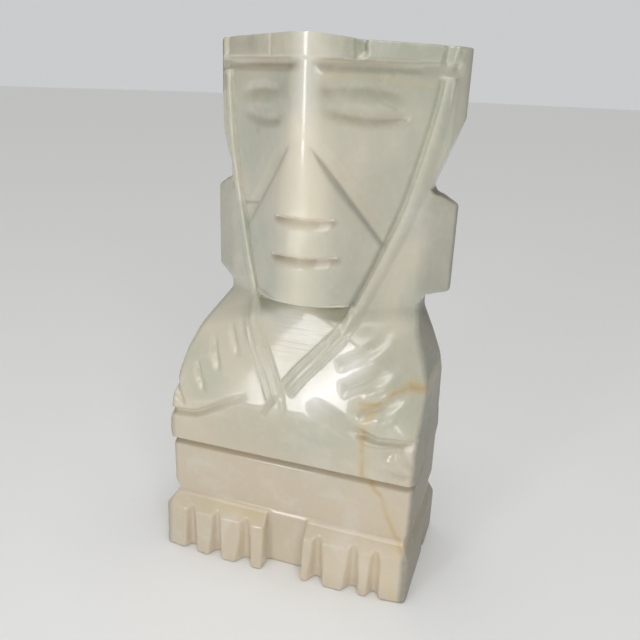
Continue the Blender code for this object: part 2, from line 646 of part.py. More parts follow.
def cut_face(stone):
    """Eye hollows, cheek bevels and the two slots."""
    for number, (across, level, half_length, half_height) in enumerate(EYE_HOLLOWS, 1):
        x, z = front_point(across, level)
        outward = front_normal(x, z)
        middle = Vector((x, front_depth(x, z) + FACE_RECESS, z))
        size = (half_length, half_height, EYE_DEPTH)
        carve(stone, hollow(f"eye_hollow_{number}", middle, Vector((1, 0, 0)), outward, size))
    for side, start in zip((LEFT, RIGHT), NOSE_EDGES):
        end = strap_place(side, CROWN - CHEEK_FOOT) - side * FACE_INSET
        route = straight_route((start, CROWN - NOSE_TOP), (end, CROWN - CHEEK_FOOT),
                               len(CHEEK_BEVEL_SHARES) - 1)
        path = [point + Vector((0, FACE_RECESS, 0)) for point in on_front(route)]
        sections = []
        for point, (outward, sideways), share in zip(path, frames(path), CHEEK_BEVEL_SHARES):
            away = sideways * side
            sections.append([point - away * SMALL + outward * CLEAR,
                             point + away * SMALL - outward * CHEEK_BEVEL_DEPTH * share,
                             point + away * CHEEK_BEVEL_WIDTH * 2 * share + outward * CHEEK_BEVEL_DEPTH * share])
        carve(stone, loft(f"cheek_line_{side + 2}", sections))
    for name, down in (("nose_slot", NOSE_SLOT), ("mouth_slot", MOUTH_SLOT)):
        floor = depth(MUZZLE_FRONT + SLOT_DEPTH)
        front = depth(MUZZLE_FRONT) - CLEAR
        drop = floor - front
        sections = [[(x, floor, CROWN - down), (x, front, CROWN - down + SMALL), (x, front, CROWN - down - drop)]
                    for x in (-SLOT_HALF, SLOT_HALF)]
        carve(stone, loft(name, sections))


def add_straps(front):
    """The two straps from the band to the chest, each with a groove along its inner side."""
    for side in (RIGHT, LEFT):
        path = on_front(smooth_route(STRAP_POINTS[side]))
        widths = []
        for point in path:
            share = min(1.0, max(0.0, (NECK + CLEAR - point.z) / (3 * CLEAR)))
            widths.append(STRAP_WIDTH + (CHEST_STRAP_WIDTH - STRAP_WIDTH) * share)
        carve(front, strap(f"strap_{side + 2}", path, widths), "UNION")
    for side in (RIGHT, LEFT):
        path = on_front(smooth_route(STRAP_POINTS[side][:-2]))
        shift = side * (STRAP_WIDTH + STRAP_GROOVE_WIDTH) / 2
        cutter = groove(f"strap_groove_{side + 2}", path, STRAP_GROOVE_WIDTH, STRAP_GROOVE_DEPTH, shift)
        carve(front, cutter)


def cut_torso(stone):
    """Belt line, the grooves under the forearms, the fingers, and the line down each side."""
    surface = depth(TORSO_FRONT)
    half = BELT_GROOVE_HEIGHT / 2
    reach = BELT_GROOVE_DEPTH
    sections = [[(x, surface + reach, BELT_LINE), (x, surface - reach, BELT_LINE + 2 * half),
                 (x, surface - reach, BELT_LINE - 2 * half)] for x in (-BASE_HALF, BASE_HALF)]
    carve(stone, loft("belt_groove", sections))
    for side in (LEFT, RIGHT):
        path = on_front(smooth_route(ARM_GROOVES[side]))
        carve(stone, groove(f"arm_groove_{side + 2}", path, ARM_GROOVE_WIDTH, ARM_GROOVE_DEPTH))
        for number, (start, end, width) in enumerate(FINGER_CUTS[side], 1):
            route = straight_route(front_point(*start), front_point(*end), 7)
            cutter = groove(f"finger_cut_{side + 2}_{number}", on_front(route), width,
                            FINGER_CUT_DEPTH, rounded=True)
            carve(stone, cutter)
        outside = side * (BODY_HALF + 3 * SLAB_GROOVE_DEPTH)
        inside = side * (BODY_HALF - SLAB_GROOVE_DEPTH)
        spread = 2 * SLAB_GROOVE_WIDTH
        sections = [[(inside, depth(share * DEPTH), height), (outside, depth(share * DEPTH) - spread, height),
                     (outside, depth(share * DEPTH) + spread, height)]
                    for share, height in zip(SIDE_LINE, (BELT_LINE - half, WAIST, NECK))]
        carve(stone, loft(f"side_line_{side + 2}", sections))


def make_stone():
    """Joins the lumps of the figure and cuts its carving."""
    stone = make_block()
    TOOLS.objects.unlink(stone)
    FIGURE.objects.link(stone)
    stone.hide_render = False
    stone.display_type = "TEXTURED"
    front = make_torso()
    combine(front, make_head(), "UNION")
    combine(front, make_muzzle(), "UNION")
    add_straps(front)
    carve(stone, front, "INTERSECT")
    carve(stone, make_base(), "UNION")
    back = box("behind_back", (-BODY_WIDTH, depth(BACK), -CLEAR),
               (BODY_WIDTH, depth(BACK + 5 * CLEAR), CROWN + CLEAR))
    carve(stone, back)
    cut_band(stone)
    cut_face(stone)
    cut_torso(stone)
    return stone


def dress(stone):
    """Gives the stone its pale polished colour."""
    material = bpy.data.materials.new("polished_stone")
    material.use_nodes = True
    shader = material.node_tree.nodes["Principled BSDF"]
    shader.inputs["Base Color"].default_value = STONE_COLOUR
    shader.inputs["Roughness"].default_value = STONE_ROUGHNESS
    shader.inputs["Metallic"].default_value = 0.0
    stone.data.materials.append(material)


clear_scene()
FIGURE = new_collection("carved_idol_bookend")
TOOLS = new_collection("cutters")
dress(make_stone())
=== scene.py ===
"""Dresses the carved stone bookend: one block of pale polished onyx with a wedge-shaped face.

Metres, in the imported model's own frame: +Z up, the figure faces -Y, +X to the viewer's right. Sizes that
describe the carving are in millimetres. A front-view point is (across, up), and depths grow to the back.
"""

import logging
import math
from dataclasses import dataclass, field
from enum import Enum
from typing import Any, Sequence

import bpy
import numpy as np
from mathutils import Matrix, Vector


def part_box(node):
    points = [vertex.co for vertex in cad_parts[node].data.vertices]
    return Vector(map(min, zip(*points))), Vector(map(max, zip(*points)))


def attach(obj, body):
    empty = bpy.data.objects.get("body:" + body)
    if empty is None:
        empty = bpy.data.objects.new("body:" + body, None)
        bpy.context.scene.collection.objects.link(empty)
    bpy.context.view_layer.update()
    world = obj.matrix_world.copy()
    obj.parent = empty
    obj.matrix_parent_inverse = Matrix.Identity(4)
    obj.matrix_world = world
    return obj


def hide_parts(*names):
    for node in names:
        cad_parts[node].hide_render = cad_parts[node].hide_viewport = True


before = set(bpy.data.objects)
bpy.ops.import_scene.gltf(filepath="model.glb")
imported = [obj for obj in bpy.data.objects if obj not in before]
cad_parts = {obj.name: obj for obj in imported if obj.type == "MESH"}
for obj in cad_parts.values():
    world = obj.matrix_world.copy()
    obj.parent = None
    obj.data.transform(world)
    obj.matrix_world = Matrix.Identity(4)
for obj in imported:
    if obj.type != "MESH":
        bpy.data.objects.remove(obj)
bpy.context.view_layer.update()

MM = 0.001
NODE = "carved_figure"
LOG = logging.getLogger("bookend")
Point = tuple[float, float]
Colour = tuple[float, float, float]
Edges = tuple[float, float, float, float]


class Cut(Enum):
    """The section that a stroke leaves."""

    ROUND = "round"
    VEE = "vee"


@dataclass(frozen=True)
class Stroke:
    """One pull of the chisel along the front.

    Attributes:
        path: Front-view points in millimetres, joined by straight runs.
        width: Full width.
        depth: How deep it goes, or with a minus sign how far it stands out.
        cut: Its section.
        fade: The share of its length over which it runs out at the start and at the end.
        lean: Where the deepest line lies between the edges, from -1 to 1, to the left of the way it runs.
    """

    path: Sequence[Point]
    width: float
    depth: float
    cut: Cut = Cut.ROUND
    fade: tuple[float, float] = (0.3, 0.3)
    lean: float = 0.0


def smooth_step(low: float, high: float, value: np.ndarray) -> np.ndarray:
    """A soft ramp from 0 at low to 1 at high."""
    share = np.clip((value - low) / (high - low), 0.0, 1.0)
    return share * share * (3.0 - 2.0 * share)


def window(value: np.ndarray, edges: Edges) -> np.ndarray:
    """A share that rises softly over the first two edges and falls over the last two."""
    start, full, fading, end = edges
    return smooth_step(start, full, value) * smooth_step(end, fading, value)


def soft_max(first: np.ndarray, second: np.ndarray, rounding: float) -> np.ndarray:
    """The larger of two depths, with the edge between them rounded off.

    Args:
        first: Depths of one surface.
        second: Depths of the other.
        rounding: How far from the edge the rounding reaches, in millimetres of depth.

    Returns:
        The depths of the rounded surface, which lies behind both.
    """
    apart = np.clip(rounding - np.abs(first - second), 0.0, None)
    return np.maximum(first, second) + apart * apart / (4.0 * rounding)


def measure(flat: np.ndarray, path: Sequence[Point]) -> tuple[np.ndarray, np.ndarray]:
    """Where front-view points lie beside a path.

    Args:
        flat: The points, one (across, up) row each.
        path: The path, from its start to its end.

    Returns:
        The distance of each point from the path, positive to the left of the way it runs, and the share of
        the path's length at the nearest place.
    """
    corners = np.array(path, float)
    runs = np.diff(corners, axis=0)
    lengths = np.linalg.norm(runs, axis=1)
    nearest = np.full(len(flat), np.inf)
    across = np.zeros(len(flat))
    along = np.zeros(len(flat))
    done = 0.0
    for start, run, length in zip(corners, runs, lengths):
        offset = flat - start
        share = np.clip(offset @ run / length ** 2, 0.0, 1.0)
        distance = np.linalg.norm(offset - share[:, None] * run, axis=1)
        side = np.where(run[0] * offset[:, 1] - run[1] * offset[:, 0] < 0.0, -1.0, 1.0)
        closer = distance < nearest
        nearest[closer] = distance[closer]
        across[closer] = (distance * side)[closer]
        along[closer] = (done + share * length)[closer] / lengths.sum()
        done += length
    return across, along


def bell(distance: np.ndarray, half: float) -> np.ndarray:
    """A smooth swelling of height 1 that ends at half on either side."""
    return 0.5 + 0.5 * np.cos(math.pi * np.clip(distance / half, -1.0, 1.0))


def curve(points: Sequence[Point], steps: int = 4) -> list[Point]:
    """Points of a smooth curve through some front-view points.

    Args:
        points: The points.
        steps: How many short runs take the place of each long one.

    Returns:
        The points of the curve.
    """
    ends = [points[0], *points, points[-1]]
    result = []
    for before, start, end, after in zip(ends, ends[1:], ends[2:], ends[3:]):
        for k in range(steps):
            t = k / steps
            result.append(tuple(((2 * b) + (c - a) * t + (2 * a - 5 * b + 4 * c - d) * t ** 2
                                 + (3 * b - a - 3 * c + d) * t ** 3) / 2
                                for a, b, c, d in zip(before, start, end, after)))
    return [*result, points[-1]]


@dataclass(frozen=True)
class Strap:
    """One strap beside the face, from the band down over the chest.

    Attributes:
        side: -1 for the viewer's left, 1 for the right.
        groove: The line of the groove along its inner side, from the top.
        middle: The line of its middle, from the top down to below the crossing.
        chest_half: Half its width on the chest.
    """

    side: int
    groove: Sequence[Point]
    middle: Sequence[Point]
    chest_half: float


@dataclass(frozen=True)
class Slot:
    """One straight slot across the muzzle.

    Attributes:
        middle: The place of its middle across.
        top: The height of its upper edge there.
        half: Half its width.
        tilt: How fast its upper edge rises towards the right.
    """

    middle: float
    top: float
    half: float
    tilt: float


@dataclass
class FrontForm:
    """How deep the carved front lies at any front-view point, in millimetres.

    Attributes:
        slope: How fast the planes of head and band run back on either side of the ridge.
        lappet_ridge: Where the planes beside the straps would meet.
        face_front: The depth of the face's ridge.
        face_rounding: Half the width over which that ridge is rounded.
        band_front: The depth of the band's ridge.
        band_rounding: Half the width over which that ridge is rounded.
        band_groove: The lower and upper edge of the groove under the band.
        muzzle_front: The depth of the muzzle's ridge.
        slots: The two slots in the muzzle.
        slot_depth: How deep they are at their upper edge.
        slot_height: How far down they run out.
        bevel_width: The width of the bevel along each cheek line.
        bevel_depth: Its depth at the line.
        groove_half: Half the width of the groove along each strap.
        groove_depth: Its depth.
        strap_half: Half the width of a strap on the head.
        strap_height: How far it stands out there.
        cheeks: The cheek line on each side, from the nose down.
        straps: The two straps, left and right.
    """

    slope: float = 0.780
    lappet_ridge: float = -13.3
    face_front: float = -10.3
    face_rounding: float = 6.0
    band_front: float = -10.7
    band_rounding: float = 8.0
    band_groove: tuple[float, float] = (169.0, 172.8)
    muzzle_front: float = -10.9
    slots: tuple[Slot, ...] = (Slot(0.2, 125.5, 9.9, 0.0), Slot(-0.2, 112.9, 11.2, 0.04))
    slot_depth: float = 1.9
    slot_height: float = 3.7
    bevel_width: float = 4.4
    bevel_depth: float = 1.3
    groove_half: float = 1.3
    groove_depth: float = 1.3
    strap_half: float = 2.2
    strap_height: float = 1.1
    cheeks: dict[int, Sequence[Point]] = field(default_factory=lambda: {
        -1: ((-5.0, 147.4), (-8.4, 142.6), (-11.5, 137.9), (-19.3, 127.3), (-24.1, 121.1), (-27.2, 117.0)),
        1: ((1.8, 148.0), (7.2, 140.0), (12.3, 132.1), (17.7, 124.2), (23.4, 115.6))})
    straps: tuple[Strap, Strap] = (
        Strap(-1, curve(((-35.5, 172.0), (-34.9, 160.0), (-33.6, 146.0), (-31.3, 135.2), (-27.4, 119.0),
                         (-23.9, 106.5), (-19.9, 95.2))),
              curve(((-37.6, 172.0), (-37.0, 159.0), (-35.4, 145.0), (-33.4, 134.8), (-29.3, 117.6),
                     (-25.1, 102.2), (-22.0, 93.6), (-18.4, 87.6), (-14.6, 81.8), (-10.2, 74.2), (-7.0, 68.5),
                     (-4.4, 63.0))), 3.4),
        Strap(1, curve(((36.6, 172.0), (35.5, 162.0), (33.6, 152.2), (31.4, 142.0), (27.9, 128.1),
                        (23.4, 115.3), (19.2, 104.4), (15.8, 96.6))),
              curve(((39.2, 172.0), (38.3, 163.0), (36.6, 152.5), (33.6, 138.0), (30.2, 125.6), (25.2, 112.0),
                     (19.6, 98.6), (16.6, 92.0), (12.4, 85.6), (7.9, 80.0), (3.2, 74.8), (-2.6, 67.0))), 3.3))

    @staticmethod
    def ridge(x: np.ndarray, front: Any, rounding: Any, slope: Any) -> np.ndarray:
        """Two planes that meet in a rounded edge.

        Args:
            x: Places across.
            front: How deep the foremost line lies.
            rounding: Half the width of the rounding.
            slope: How fast each plane runs back.

        Returns:
            The depths.
        """
        turn = np.arctan(slope)
        radius = rounding / np.sin(turn)
        inner = np.minimum(np.abs(x), rounding)
        return (front + radius - np.sqrt(radius ** 2 - inner ** 2)
                + slope * np.maximum(np.abs(x) - rounding, 0.0))

    def muzzle(self, x: np.ndarray, z: np.ndarray) -> np.ndarray:
        """Nose, mouth and chin: a ridge whose rounding widens from the nose's root down, with two slots."""
        rounding = np.interp(z, (97.0, 116.0, 131.0, 140.0, 147.0, 152.0), (11.5, 11.0, 10.4, 8.8, 7.2, 6.0))
        slope = np.interp(z, (116.0, 131.0), (0.95, 1.05))
        front = np.interp(z, (128.0, 152.0), (self.muzzle_front, self.face_front))
        depth = self.ridge(x, front, rounding, slope)
        for slot in self.slots:
            down = slot.top + slot.tilt * x - z
            inside = np.clip(1.0 - (np.abs(x - slot.middle) / slot.half) ** 4.5, 0.0, 1.0)
            inside = inside * smooth_step(-0.25, 0.2, down)
            depth = depth + self.slot_depth * inside * np.clip(1.0 - down / self.slot_height, 0.0, 1.0)
        return depth

    def band(self, flat: np.ndarray) -> np.ndarray:
        """The middle of the band and of the groove under it, which runs out at the ridge."""
        x, z = flat.T
        low, high = self.band_groove
        band = self.ridge(x, self.band_front, self.band_rounding, self.slope)
        face = self.ridge(x, self.face_front, self.face_rounding, self.slope)
        groove = face + 1.6 * smooth_step(1.5, 8.0, np.abs(x)) * bell(z - (low + high) / 2, 2.6)
        return groove + (band - groove) * smooth_step(high - 0.5, high + 0.4, z)

    def head(self, flat: np.ndarray) -> np.ndarray:
        """The face with its muzzle and cheek lines, and the straps beside it."""
        x, z = flat.T
        face = self.ridge(x, self.face_front, self.face_rounding, self.slope)
        muzzle = self.muzzle(x, z)
        inner = face
        for side, line in self.cheeks.items():
            across, along = measure(flat, line)
            outside = across * side
            bevel = np.clip(1.0 - np.maximum(outside, 0.0) / self.bevel_width, 0.0, 1.0)
            bevel *= self.bevel_depth * smooth_step(0.0, 0.18, along)
            share = smooth_step(0.35, -0.45, outside) * smooth_step(149.5, 146.5, z)
            part = (face + bevel) * (1.0 - share) + muzzle * share
            inner = np.where(np.sign(x) == side, part, inner)
        result = inner
        lappet = self.lappet_ridge + self.slope * np.abs(x)
        for strap in self.straps:
            inside = measure(flat, strap.groove)[0] * strap.side
            middle = np.abs(measure(flat, strap.middle)[0])
            raised = lappet - self.strap_height * np.cos(
                0.5 * math.pi * np.clip(middle / self.strap_half, 0.0, 1.0)) ** 1.2
            share = smooth_step(-0.6, 0.5, inside)
            part = inner * (1.0 - share) + raised * share + self.groove_depth * bell(inside, self.groove_half)
            result = np.where(np.sign(x) == strap.side, part, result)
        return result

    def chest(self, flat: np.ndarray) -> np.ndarray:
        """Belly, chest, forearms and shoulders before the fingers, with the two straps lying on them."""
        x, z = flat.T
        up = z - 60.0
        right = measure(flat, self.straps[1].middle)[0]
        between = -18.3 + np.interp(z, (60.0, 74.0, 84.0, 95.0), (0.0, 5.1, 9.1, 12.4))
        beyond = -18.3 + 0.36397 * up - 0.05 * np.clip(x - 2.0, 0.0, 18.0)
        breast = beyond + (between - beyond) * smooth_step(0.6, -0.6, right) * smooth_step(-24.0, -14.0, x)
        depth = soft_max(np.full_like(x, -18.3), breast, 1.0)
        arm = np.where(x > 0, -18.3 + 1.1424 * (x - 40.4) + 1.0435 * up,
                       -18.3 - 0.3443 * (x + 38.7) + 0.6868 * up)
        depth = soft_max(depth, arm, 4.2)
        shoulder = 5.81 + 0.8304 * (np.abs(x) - 24.5) + 2.1979 * (z - 92.0)
        depth = soft_max(depth, shoulder, 2.4)
        over = np.zeros_like(x)
        for strap in self.straps:
            across, along = measure(flat, strap.middle)
            place = np.abs(across) / np.interp(z, (86.0, 97.0), (strap.chest_half, self.strap_half))
            fluted = smooth_step(95.0, 79.0, z)
            rim = smooth_step(1.0, 0.86, place)
            flute = 0.8 * np.sin(math.pi * np.clip(place, 0.0, 1.0)) ** 2
            round_top = np.cos(0.5 * math.pi * np.clip(place * 1.25, 0.0, 1.0)) ** 1.2
            height = (1.0 - fluted) * round_top * 1.1 + fluted * rim * (1.05 + 0.2 * (1.0 - place) - flute)
            over = np.maximum(over, height * smooth_step(1.0, 0.965, along))
        return depth - over

    def neck(self, flat: np.ndarray) -> np.ndarray:
        """Where the straps leave the head and go on over the chest."""
        return -soft_max(-self.head(flat), -self.chest(flat), 6.0)


class Chisel:
    """Moves the points of the stone in depth only, so that nothing folds over itself."""

    def __init__(self, points: np.ndarray) -> None:
        """Keeps the points, in millimetres."""
        self.points = points

    def lay(self, depth: np.ndarray, share: np.ndarray) -> None:
        """Lays points on a form.

        Args:
            depth: The form's depth at each point.
            share: How far each point goes towards it. Points well away from the form stay.
        """
        apart = depth - self.points[:, 1]
        share = share * smooth_step(6.0, 4.5, np.abs(apart))
        self.points[:, 1] += apart * share

    def pull(self, stroke: Stroke, back: float) -> None:
        """Carves one stroke.

        Args:
            stroke: The stroke.
            back: The depth at which the stone stays as it is.
        """
        path = np.array(stroke.path, float)
        half = stroke.width / 2
        near = np.all((self.points[:, [0, 2]] > path.min(0) - half)
                      & (self.points[:, [0, 2]] < path.max(0) + half), axis=1)
        rows = np.nonzero(near)[0]
        across, along = measure(self.points[rows][:, [0, 2]], stroke.path)
        place = across / half
        reach = np.where(place > stroke.lean, (place - stroke.lean) / (1.0 - stroke.lean),
                         (stroke.lean - place) / (1.0 + stroke.lean))
        inside = np.clip(1.0 - np.abs(reach), 0.0, 1.0)
        if stroke.cut is Cut.ROUND:
            inside = 0.5 - 0.5 * np.cos(math.pi * inside)
        opening, closing = (max(value, 1e-6) for value in stroke.fade)
        inside *= smooth_step(0.0, opening, along) * smooth_step(0.0, closing, 1.0 - along)
        depth = self.points[rows, 1]
        hold = np.clip((back - depth) / 4.0, 0.0, 1.0)
        self.points[rows, 1] = depth + stroke.depth * inside * hold


def head_strokes() -> list[Stroke]:
    """The hollows above and below each lid, the lids between them, and small cuts on cheek and band."""
    return [
        Stroke(((3.4, 163.0), (9.5, 164.6), (17.0, 164.5), (24.0, 163.2), (28.0, 161.4)), 5.6, 0.95,
               fade=(0.25, 0.5)),
        Stroke(((7.0, 160.0), (15.0, 160.7), (26.0, 159.4)), 5.4, -0.5, fade=(0.4, 0.35)),
        Stroke(((3.6, 158.8), (10.9, 156.8), (18.1, 155.5), (23.7, 156.0), (29.6, 157.2)), 5.4, 1.15,
               fade=(0.3, 0.2)),
        Stroke(((17.0, 156.0), (20.1, 155.6), (24.2, 156.0), (28.8, 157.0)), 2.6, 0.6, Cut.VEE, (0.5, 0.2)),
        Stroke(((19.0, 161.9), (25.6, 159.2)), 0.9, 0.22, Cut.VEE, (0.3, 0.3)),
        Stroke(((20.5, 160.6), (27.4, 157.9)), 0.9, 0.25, Cut.VEE, (0.3, 0.3)),
        Stroke(((17.5, 160.2), (24.5, 157.9)), 0.9, 0.2, Cut.VEE, (0.3, 0.3)),
        Stroke(((-29.5, 161.4), (-24.0, 163.0), (-17.0, 163.6), (-9.5, 162.8)), 5.6, 0.8, fade=(0.3, 0.3)),
        Stroke(((-26.0, 159.0), (-19.0, 159.3), (-12.0, 158.8)), 5.0, -0.4, fade=(0.4, 0.4)),
        Stroke(((-28.5, 156.6), (-22.0, 154.6), (-16.0, 154.1), (-8.6, 155.2)), 5.4, 0.9, fade=(0.3, 0.2)),
        Stroke(((-28.8, 125.4), (-20.3, 127.2)), 1.8, 0.8, Cut.VEE, (0.1, 0.2)),
        Stroke(((-13.8, 182.0), (-13.8, 172.6)), 2.0, 0.4, fade=(0.0, 0.1)),
        Stroke(((14.2, 182.0), (14.4, 176.0), (15.6, 173.2)), 4.6, 2.4, fade=(0.0, 0.3)),
        Stroke(((-39.0, 173.6), (-37.0, 169.4)), 2.4, 0.6, fade=(0.2, 0.3)),
        Stroke(((41.2, 177.6), (39.2, 170.2)), 2.4, 0.8, fade=(0.1, 0.2)),
    ]


def hand_strokes() -> list[Stroke]:
    """The cuts between the fingers and the rounding of each finger."""
    return [
        Stroke(((31.0, 87.6), (24.0, 84.2), (14.2, 78.0)), 5.2, 2.1, fade=(0.45, 0.12), lean=0.3),
        Stroke(((34.6, 80.4), (26.4, 76.6), (16.4, 71.0)), 6.8, 2.5, fade=(0.4, 0.12), lean=0.3),
        Stroke(((39.4, 72.0), (30.9, 68.2), (22.6, 63.8)), 5.6, 2.4, fade=(0.35, 0.2), lean=0.3),
        Stroke(((32.4, 84.6), (20.0, 77.8)), 3.6, -0.5, fade=(0.4, 0.4)),
        Stroke(((37.0, 77.0), (24.0, 70.2)), 4.0, -0.6, fade=(0.4, 0.4)),
        Stroke(((38.0, 67.0), (30.0, 62.2)), 4.6, -0.7, fade=(0.4, 0.4)),
        Stroke(((-22.6, 88.0), (-21.6, 84.0), (-19.0, 79.4)), 3.4, 0.8, fade=(0.4, 0.4)),
        Stroke(((-27.6, 86.2), (-24.2, 80.4), (-20.4, 74.6)), 4.0, 1.5, fade=(0.4, 0.35)),
        Stroke(((-33.4, 81.0), (-30.9, 74.6), (-26.8, 68.6)), 4.4, 2.0, fade=(0.4, 0.35)),
        Stroke(((-38.4, 72.0), (-35.4, 66.8), (-31.2, 61.4)), 3.8, 1.8, fade=(0.4, 0.35)),
        Stroke(((-45.4, 64.6), (-42.4, 60.2), (-38.4, 55.4)), 3.0, 1.2, fade=(0.1, 0.35)),
    ]


def arm_strokes() -> list[Stroke]:
    """The fold under each forearm, the belly below it, the ends of the straps and the belt line."""
    return [
        Stroke(curve(((4.6, 66.0), (9.0, 64.4), (13.7, 62.8), (20.0, 60.2), (26.5, 57.6), (31.5, 56.6))),
               8.4, 1.4, fade=(0.4, 0.2)),
        Stroke(curve(((20.5, 60.2), (26.8, 57.4), (31.5, 56.6), (38.4, 57.2), (48.0, 57.6))), 5.4, 2.6,
               fade=(0.35, 0.0)),
        Stroke(((-47.0, 53.2), (-41.7, 53.2), (-34.6, 54.0), (-28.4, 57.2), (-22.9, 60.3), (-15.0, 64.0)),
               4.2, 1.9, fade=(0.0, 0.5)),
        Stroke(((-3.6, 66.0), (-2.3, 62.8), (-1.1, 57.0)), 3.0, -0.35, fade=(0.3, 0.4)),
        Stroke(((-5.2, 65.0), (-7.9, 61.0), (-9.2, 57.2)), 2.6, 0.9, fade=(0.2, 0.25)),
        Stroke(((-48.0, 41.3), (48.0, 41.3)), 2.6, 2.2, Cut.VEE, (0.0, 0.0)),
        Stroke(((31.5, 50.4), (38.1, 54.2), (45.0, 48.0)), 4.4, 1.2, Cut.VEE, (0.3, 0.2)),
        Stroke(((33.0, 46.6), (46.0, 45.6)), 3.6, 1.0, Cut.VEE, (0.4, 0.1)),
    ]


@dataclass
class CarvedFigure:
    """The stone itself, finer than its solid.

    Attributes:
        grain: The size of its small faces, in metres.
        softening: How many times its points are evened out before it is carved.
        polishing: How many times after it.
        most_triangles: Past this many, flat places lose faces.
        margin: How far it stays inside the solid's box, in millimetres.
        turning: How far back a face may turn, as its normal's Y, until the form fades and lets it go.
        rim: Over how many millimetres the form fades at the edge of the front.
        head_zone: The heights over which the head's form fades in and out.
        chest_zone: The same for the chest.
        neck_zone: The same for the straps' way from head to chest.
        groove_zone: The same for the groove under the band.
        groove_span: The same for that groove, from left to right.
        band_span: The same for the ridge of the band.
        head_reach: How far past the middle of a strap the head's form holds, and where it ends.
        strap_reach: How near the middle of a strap the form of the neck holds, and where it ends.
        wings: How far out the neck's form holds beside the straps, and where it ends.
        body: The body that it rides on.
        slot: The name of a material slot. It is not used.
        strokes: The cuts of the chisel, in order.
        form: The form of its front.
    """

    grain: float = 0.45 * MM
    quick_grain: float = 0.8 * MM
    softening: int = 5
    polishing: int = 2
    most_triangles: int = 192_000
    margin: float = 0.0005
    turning: tuple[float, float] = (0.1, 0.35)
    rim: float = 0.8
    head_zone: Edges = (96.9, 97.6, 167.4, 168.6)
    chest_zone: Edges = (46.0, 48.0, 92.6, 94.2)
    neck_zone: Edges = (84.0, 86.0, 100.0, 102.0)
    groove_zone: Edges = (166.5, 167.5, 172.6, 173.4)
    groove_span: Edges = (-31.0, -28.0, 28.0, 31.0)
    band_span: Edges = (-38.0, -30.0, 9.5, 12.0)
    head_reach: tuple[float, float] = (3.2, 4.2)
    strap_reach: tuple[float, float] = (2.6, 3.4)
    wings: tuple[float, float] = (33.5, 35.5)
    body: str = "root"
    slot: str = "polished_stone"
    strokes: list[Stroke] = field(default_factory=lambda: head_strokes() + hand_strokes() + arm_strokes())
    form: FrontForm = field(default_factory=FrontForm)

    def build(self) -> bpy.types.Object:
        """Makes the piece and ties it to the frame."""
        stone = self.copy_of_solid()
        self.refine(stone, self.softening)
        self.lay_front(stone)
        self.refine(stone, 0)
        self.lay_front(stone)
        self.carve(stone)
        self.apply(stone, "SMOOTH", factor=0.5, iterations=self.polishing)
        self.thin(stone)
        self.hold_inside(stone)
        stone.data.materials.append(Onyx().build())
        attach(stone, self.body)
        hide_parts(NODE)
        LOG.info("%s: %d faces", stone.name, len(stone.data.polygons))
        return stone

    def copy_of_solid(self) -> bpy.types.Object:
        """A copy of the solid's mesh with its loose triangles joined."""
        bpy.ops.object.select_all(action="DESELECT")
        stone = bpy.data.objects.new("carved_stone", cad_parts[NODE].data.copy())
        bpy.context.scene.collection.objects.link(stone)
        stone.data.materials.clear()
        stone.select_set(True)
        bpy.context.view_layer.objects.active = stone
        bpy.ops.mesh.customdata_custom_splitnormals_clear()
        bpy.ops.object.mode_set(mode="EDIT")
        bpy.ops.mesh.select_all(action="SELECT")
        bpy.ops.mesh.remove_doubles(threshold=0.001 * MM)
        bpy.ops.object.mode_set(mode="OBJECT")
        return stone

    def refine(self, stone: bpy.types.Object, softening: int) -> None:
        """Gives the stone even small faces and rounds its edges.

        Args:
            stone: The object.
            softening: How many times its points are evened out.
        """
        self.apply(stone, "REMESH", mode="VOXEL", voxel_size=self.grain)
        if softening:
            self.apply(stone, "SMOOTH", factor=0.5, iterations=softening)

    def edge(self, z: np.ndarray, side: int) -> np.ndarray:
        """How far out the carved front reaches at each height, clear of the corners and the sides."""
        body = np.interp(z, (40.0, 60.0, 69.0, 74.4, 81.8, 92.3), (43.4, 43.4, 42.9, 41.9, 39.1, 34.4))
        head = np.interp(z, (97.0, 99.4, 100.4, 127.6, 128.6, 132.0, 150.0, 156.0),
                         (34.8, 34.8, 43.4, 43.4, 34.9, 34.9, 39.6, 39.8))
        reach = np.where(z < 95.0, body, head)
        return np.where((z < 62.0) & (side > 0), np.minimum(reach, 41.0), reach)

    def lay_front(self, stone: bpy.types.Object) -> None:
        """Lays the points of the front on the carved form."""
        points = self.read(stone)
        chisel = Chisel(points)
        flat = points[:, [0, 2]]
        x, z = flat.T
        facing = np.empty(len(points) * 3)
        stone.data.vertices.foreach_get("normal", facing)
        facing = smooth_step(*self.turning[::-1], facing.reshape(-1, 3)[:, 1])
        inside = np.minimum(smooth_step(0.0, self.rim, self.edge(z, 1) - x),
                            smooth_step(0.0, self.rim, self.edge(z, -1) + x))
        left, right = (np.interp(z, *np.array(strap.middle)[::-1].T[::-1]) for strap in self.form.straps)
        held, end = self.head_reach
        near = np.minimum(smooth_step(-end, -held, x - left), smooth_step(end, held, x - right))
        head = inside * near * facing * window(z, self.head_zone)
        chest = inside * facing * window(z, self.chest_zone)
        on_strap = smooth_step(*self.strap_reach[::-1], np.minimum(np.abs(x - left), np.abs(x - right)))
        beyond = np.minimum(smooth_step(left, left - 1.0, x) + smooth_step(right, right + 1.0, x),
                            smooth_step(*self.wings[::-1], np.abs(x)))
        neck = facing * np.maximum(on_strap, beyond) * window(z, self.neck_zone)
        groove = window(x, self.groove_span) * window(z, self.groove_zone)
        ridge = window(x, self.band_span) * smooth_step(*self.groove_zone[:2], z)
        band = facing * np.maximum(groove, ridge)
        chisel.lay(self.form.head(flat), head)
        chisel.lay(self.form.chest(flat), chest)
        chisel.lay(self.form.neck(flat), neck)
        chisel.lay(self.form.band(flat), band)
        self.write(stone, chisel.points)

